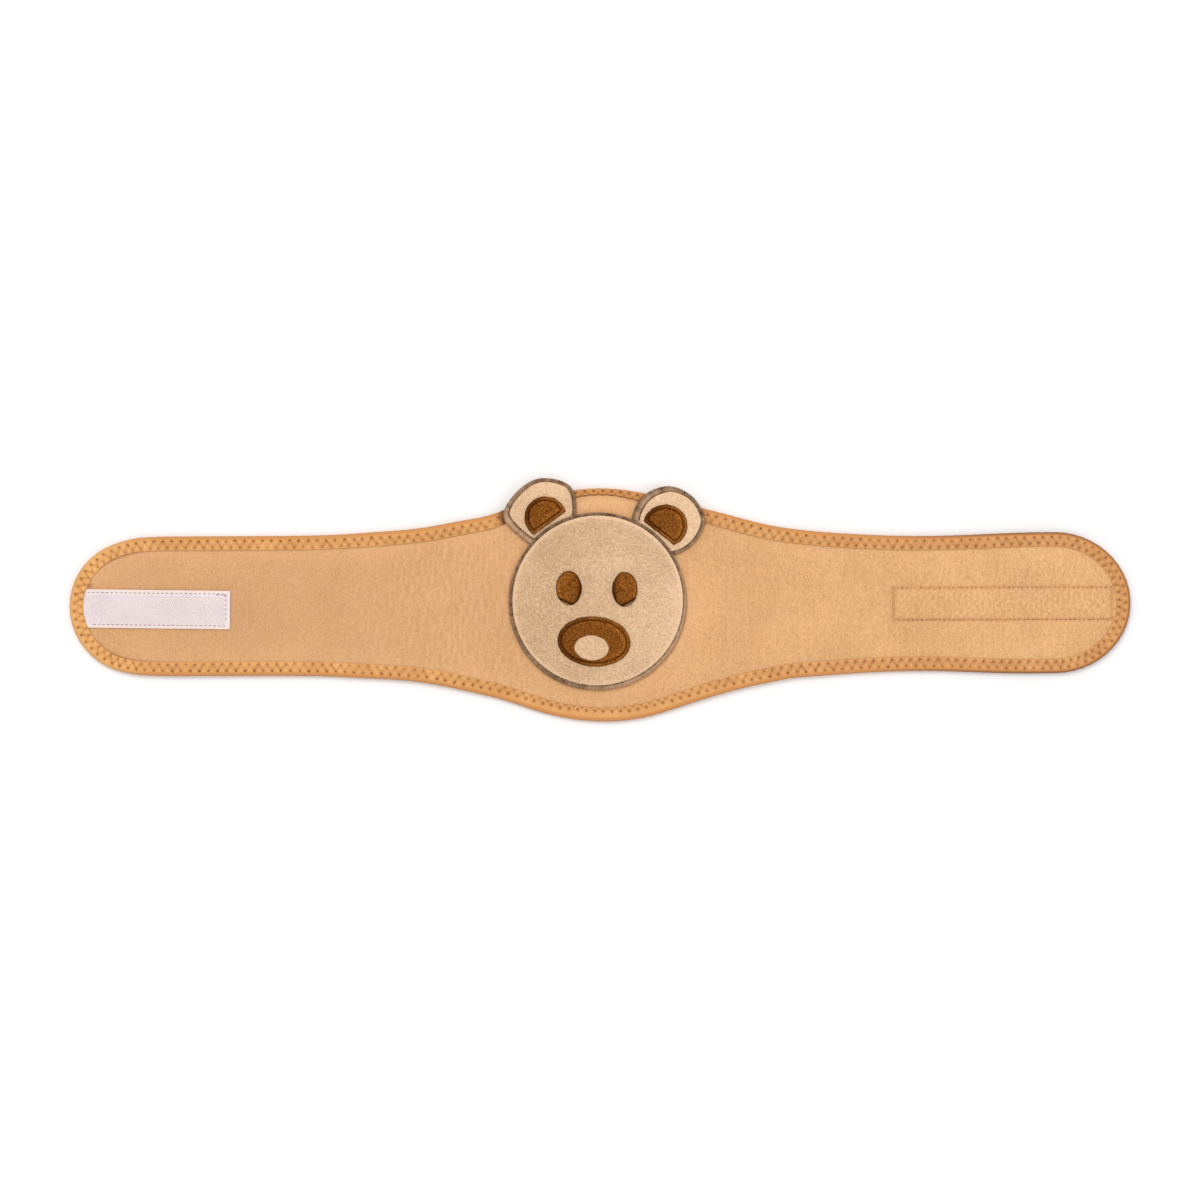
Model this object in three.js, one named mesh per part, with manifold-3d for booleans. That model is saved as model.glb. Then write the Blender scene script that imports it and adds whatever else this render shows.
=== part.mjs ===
// A baby's belly belt, lying flat with its face up: a padded fabric band that swells over the belly,
// with a binding folded round its edge, a hook tape sewn on the face of one end, a loop tape sewn on
// the back of the other, and a teddy bear's head of plush and felt sewn on the middle.
//
// Sizes are in millimetres. +X runs along the belt, +Y towards the bear's ears and +Z out of the face.
// The origin is on the surface that the belt lies on, under the middle of the box round the belt.

import * as THREE from "three";
import { mergeVertices } from "three/addons/utils/BufferGeometryUtils.js";
import Module from "manifold-3d";

const wasm = await Module();
wasm.setup();

// Outline of the belt, round its long axis
const BELT_LENGTH = 550;
const ARM_HALF_WIDTH = 36.2;
const BELLY_HALF_WIDTH = 60.3;
const BELLY_SPREAD = 68; // the swell falls to 1/e of its height this far from the middle
const END_LENGTH = 39; // each end is half an ellipse this long
const WAIST = { along: 165, depth: 1.3, spread: 40 }; // the right arm is cut a little narrower here
const END_STEPS = 10; // facets to a quarter of an end
const ARM_STEP = 12; // length of a facet along the arms

// Padded panel
const PANEL_THICKNESS = 3.6;
const PANEL_EDGE_THICKNESS = 2; // squeezed by the binding
const PANEL_SLOPE = 3.4; // from the binding to the full thickness

// Binding, a tape folded round the panel's edge
const BINDING_WIDTH = 7.4;
const BINDING_HEIGHT = 4.4;
const BINDING_WALL = 0.9;

// Hook and loop tapes: a woven ground with plain edges, and a raised field of hooks or loops
const TAPE_WIDTH = 20;
const TAPE_GROUND = 0.6;
const TAPE_FIELD = 0.9;
const TAPE_PLAIN_EDGE = 1.9;
const HOOK_TAPE = { right: -191.6, offset: -1.8, tilt: -0.9 };
const LOOP_TAPE = { left: 150.4, offset: 0, tilt: 0 };
const SEAM_INSET = 1.7; // the sewn line lies this far inside a tape's edge
const SEAM_WIDTH = 0.9;
const SEAM_DEPTH = 0.5;

// Bear's head, a round padded patch with an overcast edge
const HEAD_CENTRE = new THREE.Vector2(-1.5, 1.5);
const HEAD_RADIUS = 46.4;
const HEAD_CROWN_RADIUS = 34.5;
const HEAD_THICKNESS = 5;
const HEAD_EDGE_THICKNESS = 2.6;
const EDGING_WIDTH = 2.6;
const EDGING_HEIGHT = 3.2;
const EDGING_SIDES = 8;
const HEAD_SIDES = 60;
const SHOULDER_STEPS = 4; // facets from the rim of the head to its crown

// Ears, thinner padded patches that stand past the belt's top edge, measured from the head's centre
const EAR_THICKNESS = 3;
const EAR_EDGE_THICKNESS = 1.8;
const EAR_SLOPE = 3;
const EAR_EDGING_HEIGHT = 2.4;
const EAR_SIDES = 40;
const EAR_CENTRES = { left: new THREE.Vector2(-29, 44.9), right: new THREE.Vector2(37.3, 41.8) };
const EAR_RADII = [
  { bearing: 0, left: 18.1, right: 18.4 },
  { bearing: 45, left: 20.7, right: 16.9 },
  { bearing: 90, left: 19.1, right: 18.1 },
  { bearing: 135, left: 17.5, right: 18.5 },
  { bearing: 180, left: 19.3, right: 19.1 },
  { bearing: 225, left: 15.3, right: 18.1 },
  { bearing: 270, left: 16.6, right: 17.6 },
  { bearing: 315, left: 17.6, right: 17.6 },
];

// Felt patches, measured from the head's centre. One with a chord is an ellipse whose edge runs
// anticlockwise from one bearing to the other and is cut straight between them.
const FELT_THICKNESS = 1.1;
const FELT_ROUNDING = 0.35;
const ROUNDING_STEPS = 2;
const FELT_STEPS = 28;
const INNER_EARS = {
  left: { x: -26.4, y: 43.9, halfWidth: 10.9, halfHeight: 10.9, tilt: 0, from: 17, to: 234.6 },
  right: { x: 35.4, y: 39.5, halfWidth: 10.8, halfHeight: 10.8, tilt: 0, from: -66.9, to: 167 },
};
const EYES = {
  left: { x: -14.5, y: 7.4, halfWidth: 6.6, halfHeight: 8.9, tilt: 0, from: -72, to: 214 },
  right: { x: 14.3, y: 6.6, halfWidth: 6.5, halfHeight: 9, tilt: 0, from: -30, to: 252 },
};
const MUZZLE = { x: -1.7, y: -20.2, halfWidth: 18.9, halfHeight: 12.9, tilt: -4 };
const NOSE = { x: -2.9, y: -23.5, halfWidth: 8.9, halfHeight: 6.5, tilt: -4 };

// Where a padded slope has its rings, as shares of its length
const SLOPE_SHARES = [0, 0.5, 1];

// Clearances between pieces that are sewn together
const SEAT_GAP = 0.1; // under a flat piece
const SIDE_GAP = 0.3; // beside a shaped one
const CUT_MARGIN = 1; // how far a cutting solid reaches past what it cuts

// Levels above the surface that the belt lies on
const FACE_LEVEL = PANEL_THICKNESS + SEAT_GAP;
const EAR_LEVEL = BINDING_HEIGHT + SEAT_GAP;
const CROWN_LEVEL = FACE_LEVEL + HEAD_THICKNESS + SEAT_GAP;
const EAR_FELT_LEVEL = EAR_LEVEL + EAR_THICKNESS + SEAT_GAP;
const NOSE_LEVEL = CROWN_LEVEL + FELT_THICKNESS + SEAT_GAP;

const FABRICS = {
  panel: new THREE.MeshStandardMaterial({ color: 0xdfac7a, roughness: 0.95, metalness: 0 }),
  binding: new THREE.MeshStandardMaterial({ color: 0xdba066, roughness: 0.85, metalness: 0 }),
  hookTape: new THREE.MeshStandardMaterial({ color: 0xebdcdc, roughness: 0.6, metalness: 0 }),
  loopTape: new THREE.MeshStandardMaterial({ color: 0xe0b184, roughness: 0.95, metalness: 0 }),
  plush: new THREE.MeshStandardMaterial({ color: 0xdbb58c, roughness: 1, metalness: 0 }),
  edging: new THREE.MeshStandardMaterial({ color: 0x8b6d50, roughness: 0.8, metalness: 0 }),
  brownFelt: new THREE.MeshStandardMaterial({ color: 0x834d1e, roughness: 1, metalness: 0 }),
  creamFelt: new THREE.MeshStandardMaterial({ color: 0xe3c09c, roughness: 1, metalness: 0 }),
};

// Outlines, all closed and anticlockwise seen from above

function beltHalfWidth(along) {
  const swell = (BELLY_HALF_WIDTH - ARM_HALF_WIDTH) * Math.exp(-((along / BELLY_SPREAD) ** 2));
  const waist = WAIST.depth * Math.exp(-(((along - WAIST.along) / WAIST.spread) ** 2));
  return ARM_HALF_WIDTH + swell - waist;
}

function beltOutline() {
  const endStart = BELT_LENGTH / 2 - END_LENGTH;
  const armSteps = Math.round((2 * endStart) / ARM_STEP);
  const top = [];
  for (let i = 0; i < END_STEPS; i++) {
    const turn = (Math.PI / 2) * (i / END_STEPS);
    const along = endStart + END_LENGTH * Math.cos(turn);
    top.push(new THREE.Vector2(along, beltHalfWidth(along) * Math.sin(turn)));
  }
  for (let i = 0; i <= armSteps; i++) {
    const along = endStart * (1 - (2 * i) / armSteps);
    top.push(new THREE.Vector2(along, beltHalfWidth(along)));
  }
  for (let i = 1; i <= END_STEPS; i++) {
    const turn = (Math.PI / 2) * (i / END_STEPS);
    const along = -endStart - END_LENGTH * Math.sin(turn);
    top.push(new THREE.Vector2(along, beltHalfWidth(along) * Math.cos(turn)));
  }
  // The two tips lie on the axis, so they aren't repeated in the lower half.
  const bottom = top.slice(1, -1).reverse();
  return [...top, ...bottom.map((point) => new THREE.Vector2(point.x, -point.y))];
}

function earOutline(side) {
  const corners = EAR_RADII.map((row) => {
    const turn = THREE.MathUtils.degToRad(row.bearing);
    const reach = new THREE.Vector2(Math.cos(turn), Math.sin(turn)).multiplyScalar(row[side]);
    const corner = reach.add(EAR_CENTRES[side]).add(HEAD_CENTRE);
    return new THREE.Vector3(corner.x, corner.y, 0);
  });
  const curve = new THREE.CatmullRomCurve3(corners, true, "centripetal");
  return curve.getSpacedPoints(EAR_SIDES).slice(0, -1).map((point) => new THREE.Vector2(point.x, point.y));
}

function patchShape({ x, y, halfWidth, halfHeight, tilt, from = 0, to = 360 }) {
  const [start, end, turn] = [from, to, tilt].map(THREE.MathUtils.degToRad);
  const centre = new THREE.Vector2(x, y).add(HEAD_CENTRE);
  const rim = new THREE.EllipseCurve(centre.x, centre.y, halfWidth, halfHeight, start, end, false, turn);
  const whole = to - from === 360;
  return new THREE.Shape(whole ? rim.getPoints(FELT_STEPS).slice(0, -1) : rim.getPoints(FELT_STEPS));
}

function inwardNormal(from, to) {
  return new THREE.Vector2(from.y - to.y, to.x - from.x).normalize();
}

// The outline moved inwards by a distance, with mitred corners.
function insetOutline(outline, distance) {
  return outline.map((point, i) => {
    const before = inwardNormal(outline.at(i - 1), point);
    const after = inwardNormal(point, outline[(i + 1) % outline.length]);
    const bisector = before.clone().add(after).normalize();
    return point.clone().addScaledVector(bisector, distance / bisector.dot(before));
  });
}

// Solids

// Walls between rings of equally many points. The first and last rings are capped, or joined in a loop.
function loft(rings, looped) {
  const sides = rings[0].outline.length;
  const positions = rings.flatMap(({ outline, level }) => outline.flatMap(({ x, y }) => [x, y, level]));
  const index = [];
  const walls = looped ? rings.length : rings.length - 1;
  for (let r = 0; r < walls; r++) {
    const lower = r * sides;
    const upper = ((r + 1) % rings.length) * sides;
    for (let i = 0; i < sides; i++) {
      const next = (i + 1) % sides;
      index.push(lower + i, lower + next, upper + next, lower + i, upper + next, upper + i);
    }
  }
  if (!looped) {
    const last = (rings.length - 1) * sides;
    for (const [a, b, c] of THREE.ShapeUtils.triangulateShape(rings[0].outline, [])) index.push(a, c, b);
    for (const [a, b, c] of THREE.ShapeUtils.triangulateShape(rings.at(-1).outline, [])) {
      index.push(last + a, last + b, last + c);
    }
  }
  const geometry = new THREE.BufferGeometry();
  geometry.setAttribute("position", new THREE.Float32BufferAttribute(positions, 3));
  geometry.setIndex(index);
  return geometry;
}

// A padded piece with the given outline. Each row gives its underside and top at a distance from the edge.
function pad(outline, rows) {
  const under = rows.map(({ inset, low }) => ({ outline: insetOutline(outline, inset), level: low }));
  const over = rows.map(({ inset, high }) => ({ outline: insetOutline(outline, inset), level: high }));
  return loft([...under.reverse(), ...over], false);
}

// A closed band that follows an outline. The section runs from its inner end, underneath and outwards.
function band(outline, section) {
  return loft(section.map(({ inset, level }) => ({ outline: insetOutline(outline, inset), level })), true);
}

// The height of a padded edge that rises in a quarter wave from one height to another.
function rise(from, to, share) {
  return THREE.MathUtils.lerp(from, to, Math.sin((share * Math.PI) / 2));
}

function roundSection(width, low, height) {
  return Array.from({ length: EDGING_SIDES }, (_, i) => {
    const turn = (2 * Math.PI * i) / EDGING_SIDES;
    return {
      inset: (width / 2) * (1 + Math.cos(turn)),
      level: low + (height / 2) * (1 - Math.sin(turn)),
    };
  });
}

function block(left, right, bottom, top, low, high) {
  const geometry = new THREE.BoxGeometry(right - left, top - bottom, high - low);
  return geometry.translate((left + right) / 2, (bottom + top) / 2, (low + high) / 2);
}

function prism(outline, low, high) {
  const upright = { depth: high - low, bevelEnabled: false };
  return new THREE.ExtrudeGeometry(new THREE.Shape(outline), upright).translate(0, 0, low);
}

// A geometry as a solid that can be joined and cut, and back again.
function toSolid(geometry) {
  const bare = geometry.clone();
  bare.deleteAttribute("normal");
  bare.deleteAttribute("uv");
  const merged = mergeVertices(bare);
  const vertProperties = new Float32Array(merged.getAttribute("position").array);
  const triVerts = new Uint32Array(merged.index.array);
  return new wasm.Manifold(new wasm.Mesh({ numProp: 3, vertProperties, triVerts }));
}

function toGeometry(solid) {
  const { vertProperties, triVerts } = solid.getMesh();
  const geometry = new THREE.BufferGeometry();
  geometry.setAttribute("position", new THREE.BufferAttribute(vertProperties, 3));
  geometry.setIndex(new THREE.BufferAttribute(triVerts, 1));
  return geometry;
}

const edge = beltOutline();
const insideBinding = insetOutline(edge, BINDING_WIDTH + SIDE_GAP);
const loopTapeTop = TAPE_GROUND + TAPE_FIELD;

function bindingGeometry() {
  const fold = BINDING_HEIGHT / 2;
  const outerFold = [-90, -135, -180, -225, -270];
  const innerFold = [90, 180, 270];
  const onFold = (radius) => (bearing) => {
    const turn = THREE.MathUtils.degToRad(bearing);
    return { inset: fold + radius * Math.cos(turn), level: fold + radius * Math.sin(turn) };
  };
  return band(edge, [
    { inset: BINDING_WIDTH, level: 0 },
    ...outerFold.map(onFold(fold)),
    { inset: BINDING_WIDTH, level: BINDING_HEIGHT },
    { inset: BINDING_WIDTH, level: BINDING_HEIGHT - BINDING_WALL },
    ...innerFold.map(onFold(fold - BINDING_WALL)),
    { inset: BINDING_WIDTH, level: BINDING_WALL },
  ]);
}

// The sewn line of the loop tape shows on the face as a groove, and the tape lies in the pressed back.
function panelGeometry() {
  const middle = BINDING_HEIGHT / 2;
  const squeezed = { low: middle - PANEL_EDGE_THICKNESS / 2, high: middle + PANEL_EDGE_THICKNESS / 2 };
  const full = { low: 0, high: PANEL_THICKNESS };
  const edgeInset = middle + SIDE_GAP;
  const slopeInset = BINDING_WIDTH + SIDE_GAP;
  const rounded = (share) => ({
    inset: slopeInset + PANEL_SLOPE * share,
    low: rise(squeezed.low, full.low, share),
    high: rise(squeezed.high, full.high, share),
  });
  const whole = toSolid(pad(edge, [{ inset: edgeInset, ...squeezed }, ...SLOPE_SHARES.map(rounded)]));

  const half = TAPE_WIDTH / 2;
  const right = insideBinding[0].x;
  const reach = half + SIDE_GAP;
  const roof = loopTapeTop + SEAT_GAP;
  const pocket = block(LOOP_TAPE.left - SIDE_GAP, right + SIDE_GAP, -reach, reach, -CUT_MARGIN, roof);
  const groove = (inset) => {
    const side = half - SEAM_INSET - inset;
    const start = LOOP_TAPE.left + SEAM_INSET + inset;
    const end = right - SEAM_INSET - inset;
    const floor = PANEL_THICKNESS - SEAM_DEPTH;
    return toSolid(block(start, end, -side, side, floor, PANEL_THICKNESS + CUT_MARGIN));
  };
  const seam = groove(-SEAM_WIDTH / 2).subtract(groove(SEAM_WIDTH / 2));
  return toGeometry(whole.subtract(toSolid(pocket)).subtract(seam));
}

// A tape runs under the binding at its outer end, so that end follows the binding's inner edge.
function tapeGeometry(left, right, { offset, tilt }, ground, field) {
  const half = TAPE_WIDTH / 2;
  const plain = half - TAPE_PLAIN_EDGE;
  const clipAtBinding = toSolid(prism(insideBinding, -CUT_MARGIN, NOSE_LEVEL));
  const trim = { left: left > 0 ? TAPE_PLAIN_EDGE : 0, right: left > 0 ? 0 : TAPE_PLAIN_EDGE };
  const whole = toSolid(block(left, right, -half, half, ...ground));
  const raised = toSolid(block(left + trim.left, right - trim.right, -plain, plain, ...field));
  const laid = toGeometry(whole.add(raised)).rotateZ(THREE.MathUtils.degToRad(tilt)).translate(0, offset, 0);
  return toGeometry(toSolid(laid).intersect(clipAtBinding));
}

function hookTapeGeometry() {
  const ground = [FACE_LEVEL, FACE_LEVEL + TAPE_GROUND];
  const field = [ground[1] - SEAT_GAP, ground[1] + TAPE_FIELD];
  // The tape turns about its own inner end.
  const turned = { ...HOOK_TAPE };
  turned.offset -= HOOK_TAPE.right * Math.sin(THREE.MathUtils.degToRad(HOOK_TAPE.tilt));
  return tapeGeometry(-BELT_LENGTH / 2, HOOK_TAPE.right, turned, ground, field);
}

function loopTapeGeometry() {
  const ground = [TAPE_FIELD, loopTapeTop];
  const field = [0, TAPE_FIELD + SEAT_GAP];
  return tapeGeometry(LOOP_TAPE.left, BELT_LENGTH / 2, LOOP_TAPE, ground, field);
}

// A turned profile, given as rows of radius and level, standing on the head's centre.
function turnedGeometry(profile) {
  const points = profile.map(({ radius, level }) => new THREE.Vector2(radius, level));
  const geometry = new THREE.LatheGeometry(points, HEAD_SIDES);
  return geometry.rotateX(Math.PI / 2).translate(HEAD_CENTRE.x, HEAD_CENTRE.y, 0);
}

function headGeometry() {
  const rim = HEAD_RADIUS - EDGING_WIDTH - SEAT_GAP;
  const shoulder = Array.from({ length: SHOULDER_STEPS + 1 }, (_, i) => {
    const turn = (Math.PI / 2) * (i / SHOULDER_STEPS);
    return {
      radius: HEAD_CROWN_RADIUS + (rim - HEAD_CROWN_RADIUS) * Math.cos(turn),
      level: FACE_LEVEL + HEAD_EDGE_THICKNESS + (HEAD_THICKNESS - HEAD_EDGE_THICKNESS) * Math.sin(turn),
    };
  });
  return turnedGeometry([
    { radius: 0, level: FACE_LEVEL },
    { radius: rim, level: FACE_LEVEL },
    ...shoulder,
    { radius: 0, level: FACE_LEVEL + HEAD_THICKNESS },
  ]);
}

function headEdgingGeometry() {
  const section = roundSection(EDGING_WIDTH, FACE_LEVEL, EDGING_HEIGHT);
  const profile = section.map(({ inset, level }) => ({ radius: HEAD_RADIUS - inset, level }));
  return turnedGeometry([...profile, profile[0]]);
}

// Each ear and its edging end against the head, which is sewn over them.
function cutByHead(geometry) {
  const radius = HEAD_RADIUS + SIDE_GAP;
  const cutter = new THREE.CylinderGeometry(radius, radius, 2 * NOSE_LEVEL, 2 * HEAD_SIDES);
  cutter.rotateX(Math.PI / 2).translate(HEAD_CENTRE.x, HEAD_CENTRE.y, 0);
  return toGeometry(toSolid(geometry).subtract(toSolid(cutter)));
}

function earGeometry(side) {
  const inner = insetOutline(earOutline(side), EDGING_WIDTH + SEAT_GAP);
  const rounded = (share) => ({
    inset: EAR_SLOPE * share,
    low: EAR_LEVEL,
    high: EAR_LEVEL + rise(EAR_EDGE_THICKNESS, EAR_THICKNESS, share),
  });
  return cutByHead(pad(inner, SLOPE_SHARES.map(rounded)));
}

function earEdgingGeometry(side) {
  return cutByHead(band(earOutline(side), roundSection(EDGING_WIDTH, EAR_LEVEL, EAR_EDGING_HEIGHT)));
}

function feltGeometry(patch, level) {
  const geometry = new THREE.ExtrudeGeometry(patchShape(patch), {
    depth: FELT_THICKNESS - 2 * FELT_ROUNDING,
    bevelThickness: FELT_ROUNDING,
    bevelSize: FELT_ROUNDING,
    bevelOffset: -FELT_ROUNDING,
    bevelSegments: ROUNDING_STEPS,
  });
  return geometry.translate(0, 0, level + FELT_ROUNDING);
}

function piece(name, geometry, material) {
  const mesh = new THREE.Mesh(geometry, material);
  mesh.name = name;
  return mesh;
}

const bear = new THREE.Group();
bear.add(piece("bear_head", headGeometry(), FABRICS.plush));
bear.add(piece("head_edging", headEdgingGeometry(), FABRICS.edging));
for (const side of ["left", "right"]) {
  bear.add(piece(`ear_${side}`, earGeometry(side), FABRICS.plush));
  bear.add(piece(`ear_edging_${side}`, earEdgingGeometry(side), FABRICS.edging));
  bear.add(piece(`inner_ear_${side}`, feltGeometry(INNER_EARS[side], EAR_FELT_LEVEL), FABRICS.brownFelt));
  bear.add(piece(`eye_${side}`, feltGeometry(EYES[side], CROWN_LEVEL), FABRICS.brownFelt));
}
bear.add(piece("muzzle", feltGeometry(MUZZLE, CROWN_LEVEL), FABRICS.brownFelt));
bear.add(piece("nose_patch", feltGeometry(NOSE, NOSE_LEVEL), FABRICS.creamFelt));

const laidBelt = new THREE.Group();
laidBelt.add(piece("belt_panel", panelGeometry(), FABRICS.panel));
laidBelt.add(piece("edge_binding", bindingGeometry(), FABRICS.binding));
laidBelt.add(piece("hook_tape", hookTapeGeometry(), FABRICS.hookTape));
laidBelt.add(piece("loop_tape", loopTapeGeometry(), FABRICS.loopTape));
laidBelt.add(bear);

// The belt is set so that the origin is under the middle of its box.
const middle = new THREE.Box3().setFromObject(laidBelt).getCenter(new THREE.Vector3());
laidBelt.position.set(-middle.x, -middle.y, 0);

const bellyBelt = new THREE.Group();
bellyBelt.add(laidBelt);

export default bellyBelt;
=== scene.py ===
import math
from collections import namedtuple

import bpy
import numpy as np
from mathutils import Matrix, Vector
from mathutils.kdtree import KDTree


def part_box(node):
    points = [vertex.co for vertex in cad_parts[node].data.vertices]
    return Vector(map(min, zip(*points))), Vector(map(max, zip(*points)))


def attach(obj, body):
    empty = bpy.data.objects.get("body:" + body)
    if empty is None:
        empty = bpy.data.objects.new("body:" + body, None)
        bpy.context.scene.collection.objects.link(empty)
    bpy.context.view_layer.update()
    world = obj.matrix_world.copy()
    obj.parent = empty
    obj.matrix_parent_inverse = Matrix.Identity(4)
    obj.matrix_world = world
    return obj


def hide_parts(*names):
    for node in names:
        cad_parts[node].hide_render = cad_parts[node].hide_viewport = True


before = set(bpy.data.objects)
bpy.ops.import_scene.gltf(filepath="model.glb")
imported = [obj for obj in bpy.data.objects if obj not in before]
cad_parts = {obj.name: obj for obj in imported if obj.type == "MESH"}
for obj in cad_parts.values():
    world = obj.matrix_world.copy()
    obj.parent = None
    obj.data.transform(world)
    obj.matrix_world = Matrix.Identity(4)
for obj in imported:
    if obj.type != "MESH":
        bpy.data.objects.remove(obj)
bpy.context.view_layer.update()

# A baby's belly belt, lying face up: a padded knit band with a zigzag stitched binding, hook and loop tapes,
# and a teddy bear's head of plush and felt. Sizes are in millimetres, in the part's own frame, and
# add_piece() turns them into metres. It also clips shades and tones to shares from 0 to 1.

MM = 0.001
MID_TONE = 0.5
rng = np.random.default_rng(20)

# Rows of the short tables: a bell of an amount at a place, the same on one side of the belt's edge, and an
# amount that fades away over a reach. The pairs that ramp() takes are where a smooth rise starts and ends.
Mark = namedtuple("Mark", "amount place spread")
Spot = namedtuple("Spot", "side place spread amount")
Fade = namedtuple("Fade", "amount reach")

# Outline of the belt
ARM_HALF_WIDTH = 36.2
BELLY_HALF_WIDTH = 60.3
BELLY_SPREAD = 68.0
END_LENGTH = 39.0
END_POINTS = 240
ARM_POINTS = 1600
WAIST = Mark(1.3, 165.0, 40.0)
WAVER_RISE = 0.3  # the whole edge lies this much higher
WAVER_END = 12  # the wavers die away this close to a tip
WAVERS = (  # where the sewn edge wavers from a plain curve
    Spot("above", -248, 14, -0.9),
    Spot("above", -115, 20, 0.6),
    Spot("above", -57, 12, -1.5),
    Spot("above", 66, 18, 0.95),
    Spot("above", 228, 30, 0.6),
    Spot("below", -243, 12, 0.7),
    Spot("below", -122, 18, -0.5),
    Spot("below", -50, 16, 0.9),
    Spot("below", 22, 20, -0.8),
    Spot("below", 99, 10, 0.5),
    Spot("below", 212, 28, -0.5),
)
LIFT = 0.6  # the soft belt's gentle waves stand this far off the floor
WAVES = {  # uneven surfaces, as numbers of waves and their shortest and longest lengths
    "lift": (6, 90, 220),
    "panel": (14, 18, 70),
    "bump": (12, 1.8, 4),
    "wobble": (6, 40, 120),
    "head": (10, 14, 45),
    "blotch": (10, 2.5, 8),
}

# Padded panel of ribbed knit
PANEL_INSET = 4.0  # its edge lies this far inside the belt's, hidden in the binding
PANEL_REACH = 1.3  # the edge lies this much further out at the middle, where the binding is rolled
PANEL_SQUEEZED = (1.2, 3.25)  # its back's and face's levels inside the binding
PANEL_SLOPE = (-0.6, 3.0)  # from the binding's rim
PANEL_UNEVEN = 0.12
BACK_LEVEL = 0.04
RIB_PITCH = 1.08
RIB_HEIGHT = 0.16
RIB_WOBBLE = 1.2
RIB_SHADE = 0.10
COLUMNS_PER_RIB = 3
COLUMNS_PER_BACK = 6  # the back is plainer, with a column to so many of the face's
TIP_TRIM = 0.1
INNER_ROWS = (0.0, 1.2, 2.4, 3.6, 4.8, 5.9, 6.8, 7.5, 7.9, 8.3, 8.7, 9.2, 10.2, 12.0)  # closest at the seam
OUTER_SHARES = (0.12, 0.25, 0.38, 0.51, 0.64, 0.76, 0.86, 0.93, 0.97, 1.0)  # from those rows to the edge
PRESSED_LEVEL = 3.5  # under the head and the tape
PRESSED_TAPE = (-0.9, 0.6)  # inside their edges
PRESSED_HEAD = (-1, 1)
ZIGZAG_PINCH = Fade(0.10, 2.2)  # by the binding's rim
RIM_SHADE = Fade(0.3, 0.6)
# Painted highlight on the panel along the binding's rim, strong on the left arm and faint on the right
RIM_HIGHLIGHTS = {"left": 0.6, "right": 0.05, "between": (-80, 40), "reach": 5}
EAR_SHADE = Fade(0.25, 1.2)
# Painted light on the panel beside the head
PAINTED_LIGHT_BY_HEAD = Fade(0.7, 2.5)
# Painted light on the strip between the ears, offsetting the shade there
STRIP_HIGHLIGHT = {"along": Mark(0.9, 0, 35), "above": (40, 48)}  # between the ears
# Pebbles and streaks of the knit; their tones are painted highlights on their raised tops
PEBBLES = {"along": (120, 180), "height": 0.045, "tone": 0.12, "seam_height": 0.075, "seam_tone": 0.16}
STREAKS = {"along": Mark(1, -72, 40), "squeeze": (1, 0.3), "height": 0.04, "tone": 0.22}

# Binding, folded round the edge and sewn down with a zigzag. Between the ears it is rolled to the back.
BINDING_WIDTH = 7.4
ROLLED = Spot("above", 0, 34, 0.53)
FACE_INSETS = (7.4, 7.15, 6.8, 6.4, 6.0, 5.5, 4.9, 4.35, 3.8, 3.3, 2.75, 2.3)
BACK_INSETS = (2.3, 3.0, 4.0, 5.0, 6.0, 6.8, 7.4)
LINING_INSETS = (7.2, 4.6, 2.9, 2.4, 2.9, 4.6, 7.2)  # inside the fold, from the back's rim to the face's
LINING_LEVELS = (0.75, 0.85, 1.2, 2.2, 3.2, 3.45, 3.45)
LINING_SHADE = 0.5
FOLD_TURN = (105, 255)  # degrees round the fold, from the face to the back
FOLD_LEAD = 17
FOLD_POINTS = 7
FOLD_WAVER = {"inside": 1, "depth": 0.05}
RIM_WAVER = {"outside": 6.9, "depth": 0.1}
RIM_DROP = {"between": (6.1, 7.4), "depth": 0.7}
# The line along the binding's inner rim is a painted shadow
RIM_LINE = 0.1  # how dark the line along the inner rim is: darkest on the left end's arcs and by the ears
RIM_LINES = (
    Spot("above", -250, 11, 1.0),
    Spot("below", -250, 17, 1.0),
    Spot("above", 0, 75, 0.6),
    Spot("above", 0, 28, 0.6),
)
RIM_LINE_WIDTH = 0.35
RIM_LINE_SHADE = 0.6
ROLLED_SHADE = Spot("above", 0, 50, 0.12)
ROLLED_FOLD = Spot("above", 0, 40, 0.9)
FOLD_TINT_AND_SHADE = {"inside": (-3.0, -1.5), "left_end": (225, 260)}  # partly its own redder colour and partly painted shade, but not on the left end
FOLD_SHADE = {"least": 0.06, "edge": 0.3, "inside": (-1, 0)}
RIGHT_FOLD_SHADE = {"along": (120, 220), "least": 0.04, "edge": 0.6, "inside": (-1.5, -0.5)}
EAR_FOLD_SHADE = Fade(0.6, 2)
LEFT_EAR_SHADE = {"along": (35, 45), "around": Mark(1.1, 0, 3.2)}

# Zigzag
ZIGZAG_PITCH = 4.7
ZIGZAG_ROWS = (2.75, 6.0)  # distances of the outer and inner needle holes from the edge
ZIGZAG_HIDDEN = (  # rolled over between the ears, drawn tight under the belly, and under the left ear
    Spot("above", 0, 34, 0.8),
    Spot("below", 0, 55, 0.7),
    Spot("above", -51, 6, 0.85),
)
LEFT_OF_EARS = Spot("above", -88, 38, 1)
ZIGZAG_DRIFTS = (  # where the outer and inner holes lie further in
    {"where": Spot("below", 0, 60, 1), "insets": (2.6, 0.9)},
    {"where": LEFT_OF_EARS, "insets": (0.9, 0.0)},
)
HOLE_JITTER = {"along": 0.03, "across": 0.12}
COLUMNS_PER_ZIGZAG = 10
HOLE_DEPTH = 0.9
HOLE_RADIUS = 0.6
HOLE_DARKNESS = (0.9, 0.6)  # painted shade in the outer and inner ones
HOLE_STRENGTHS = (0.6, 1.15)  # least and most, from hole to hole
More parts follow.
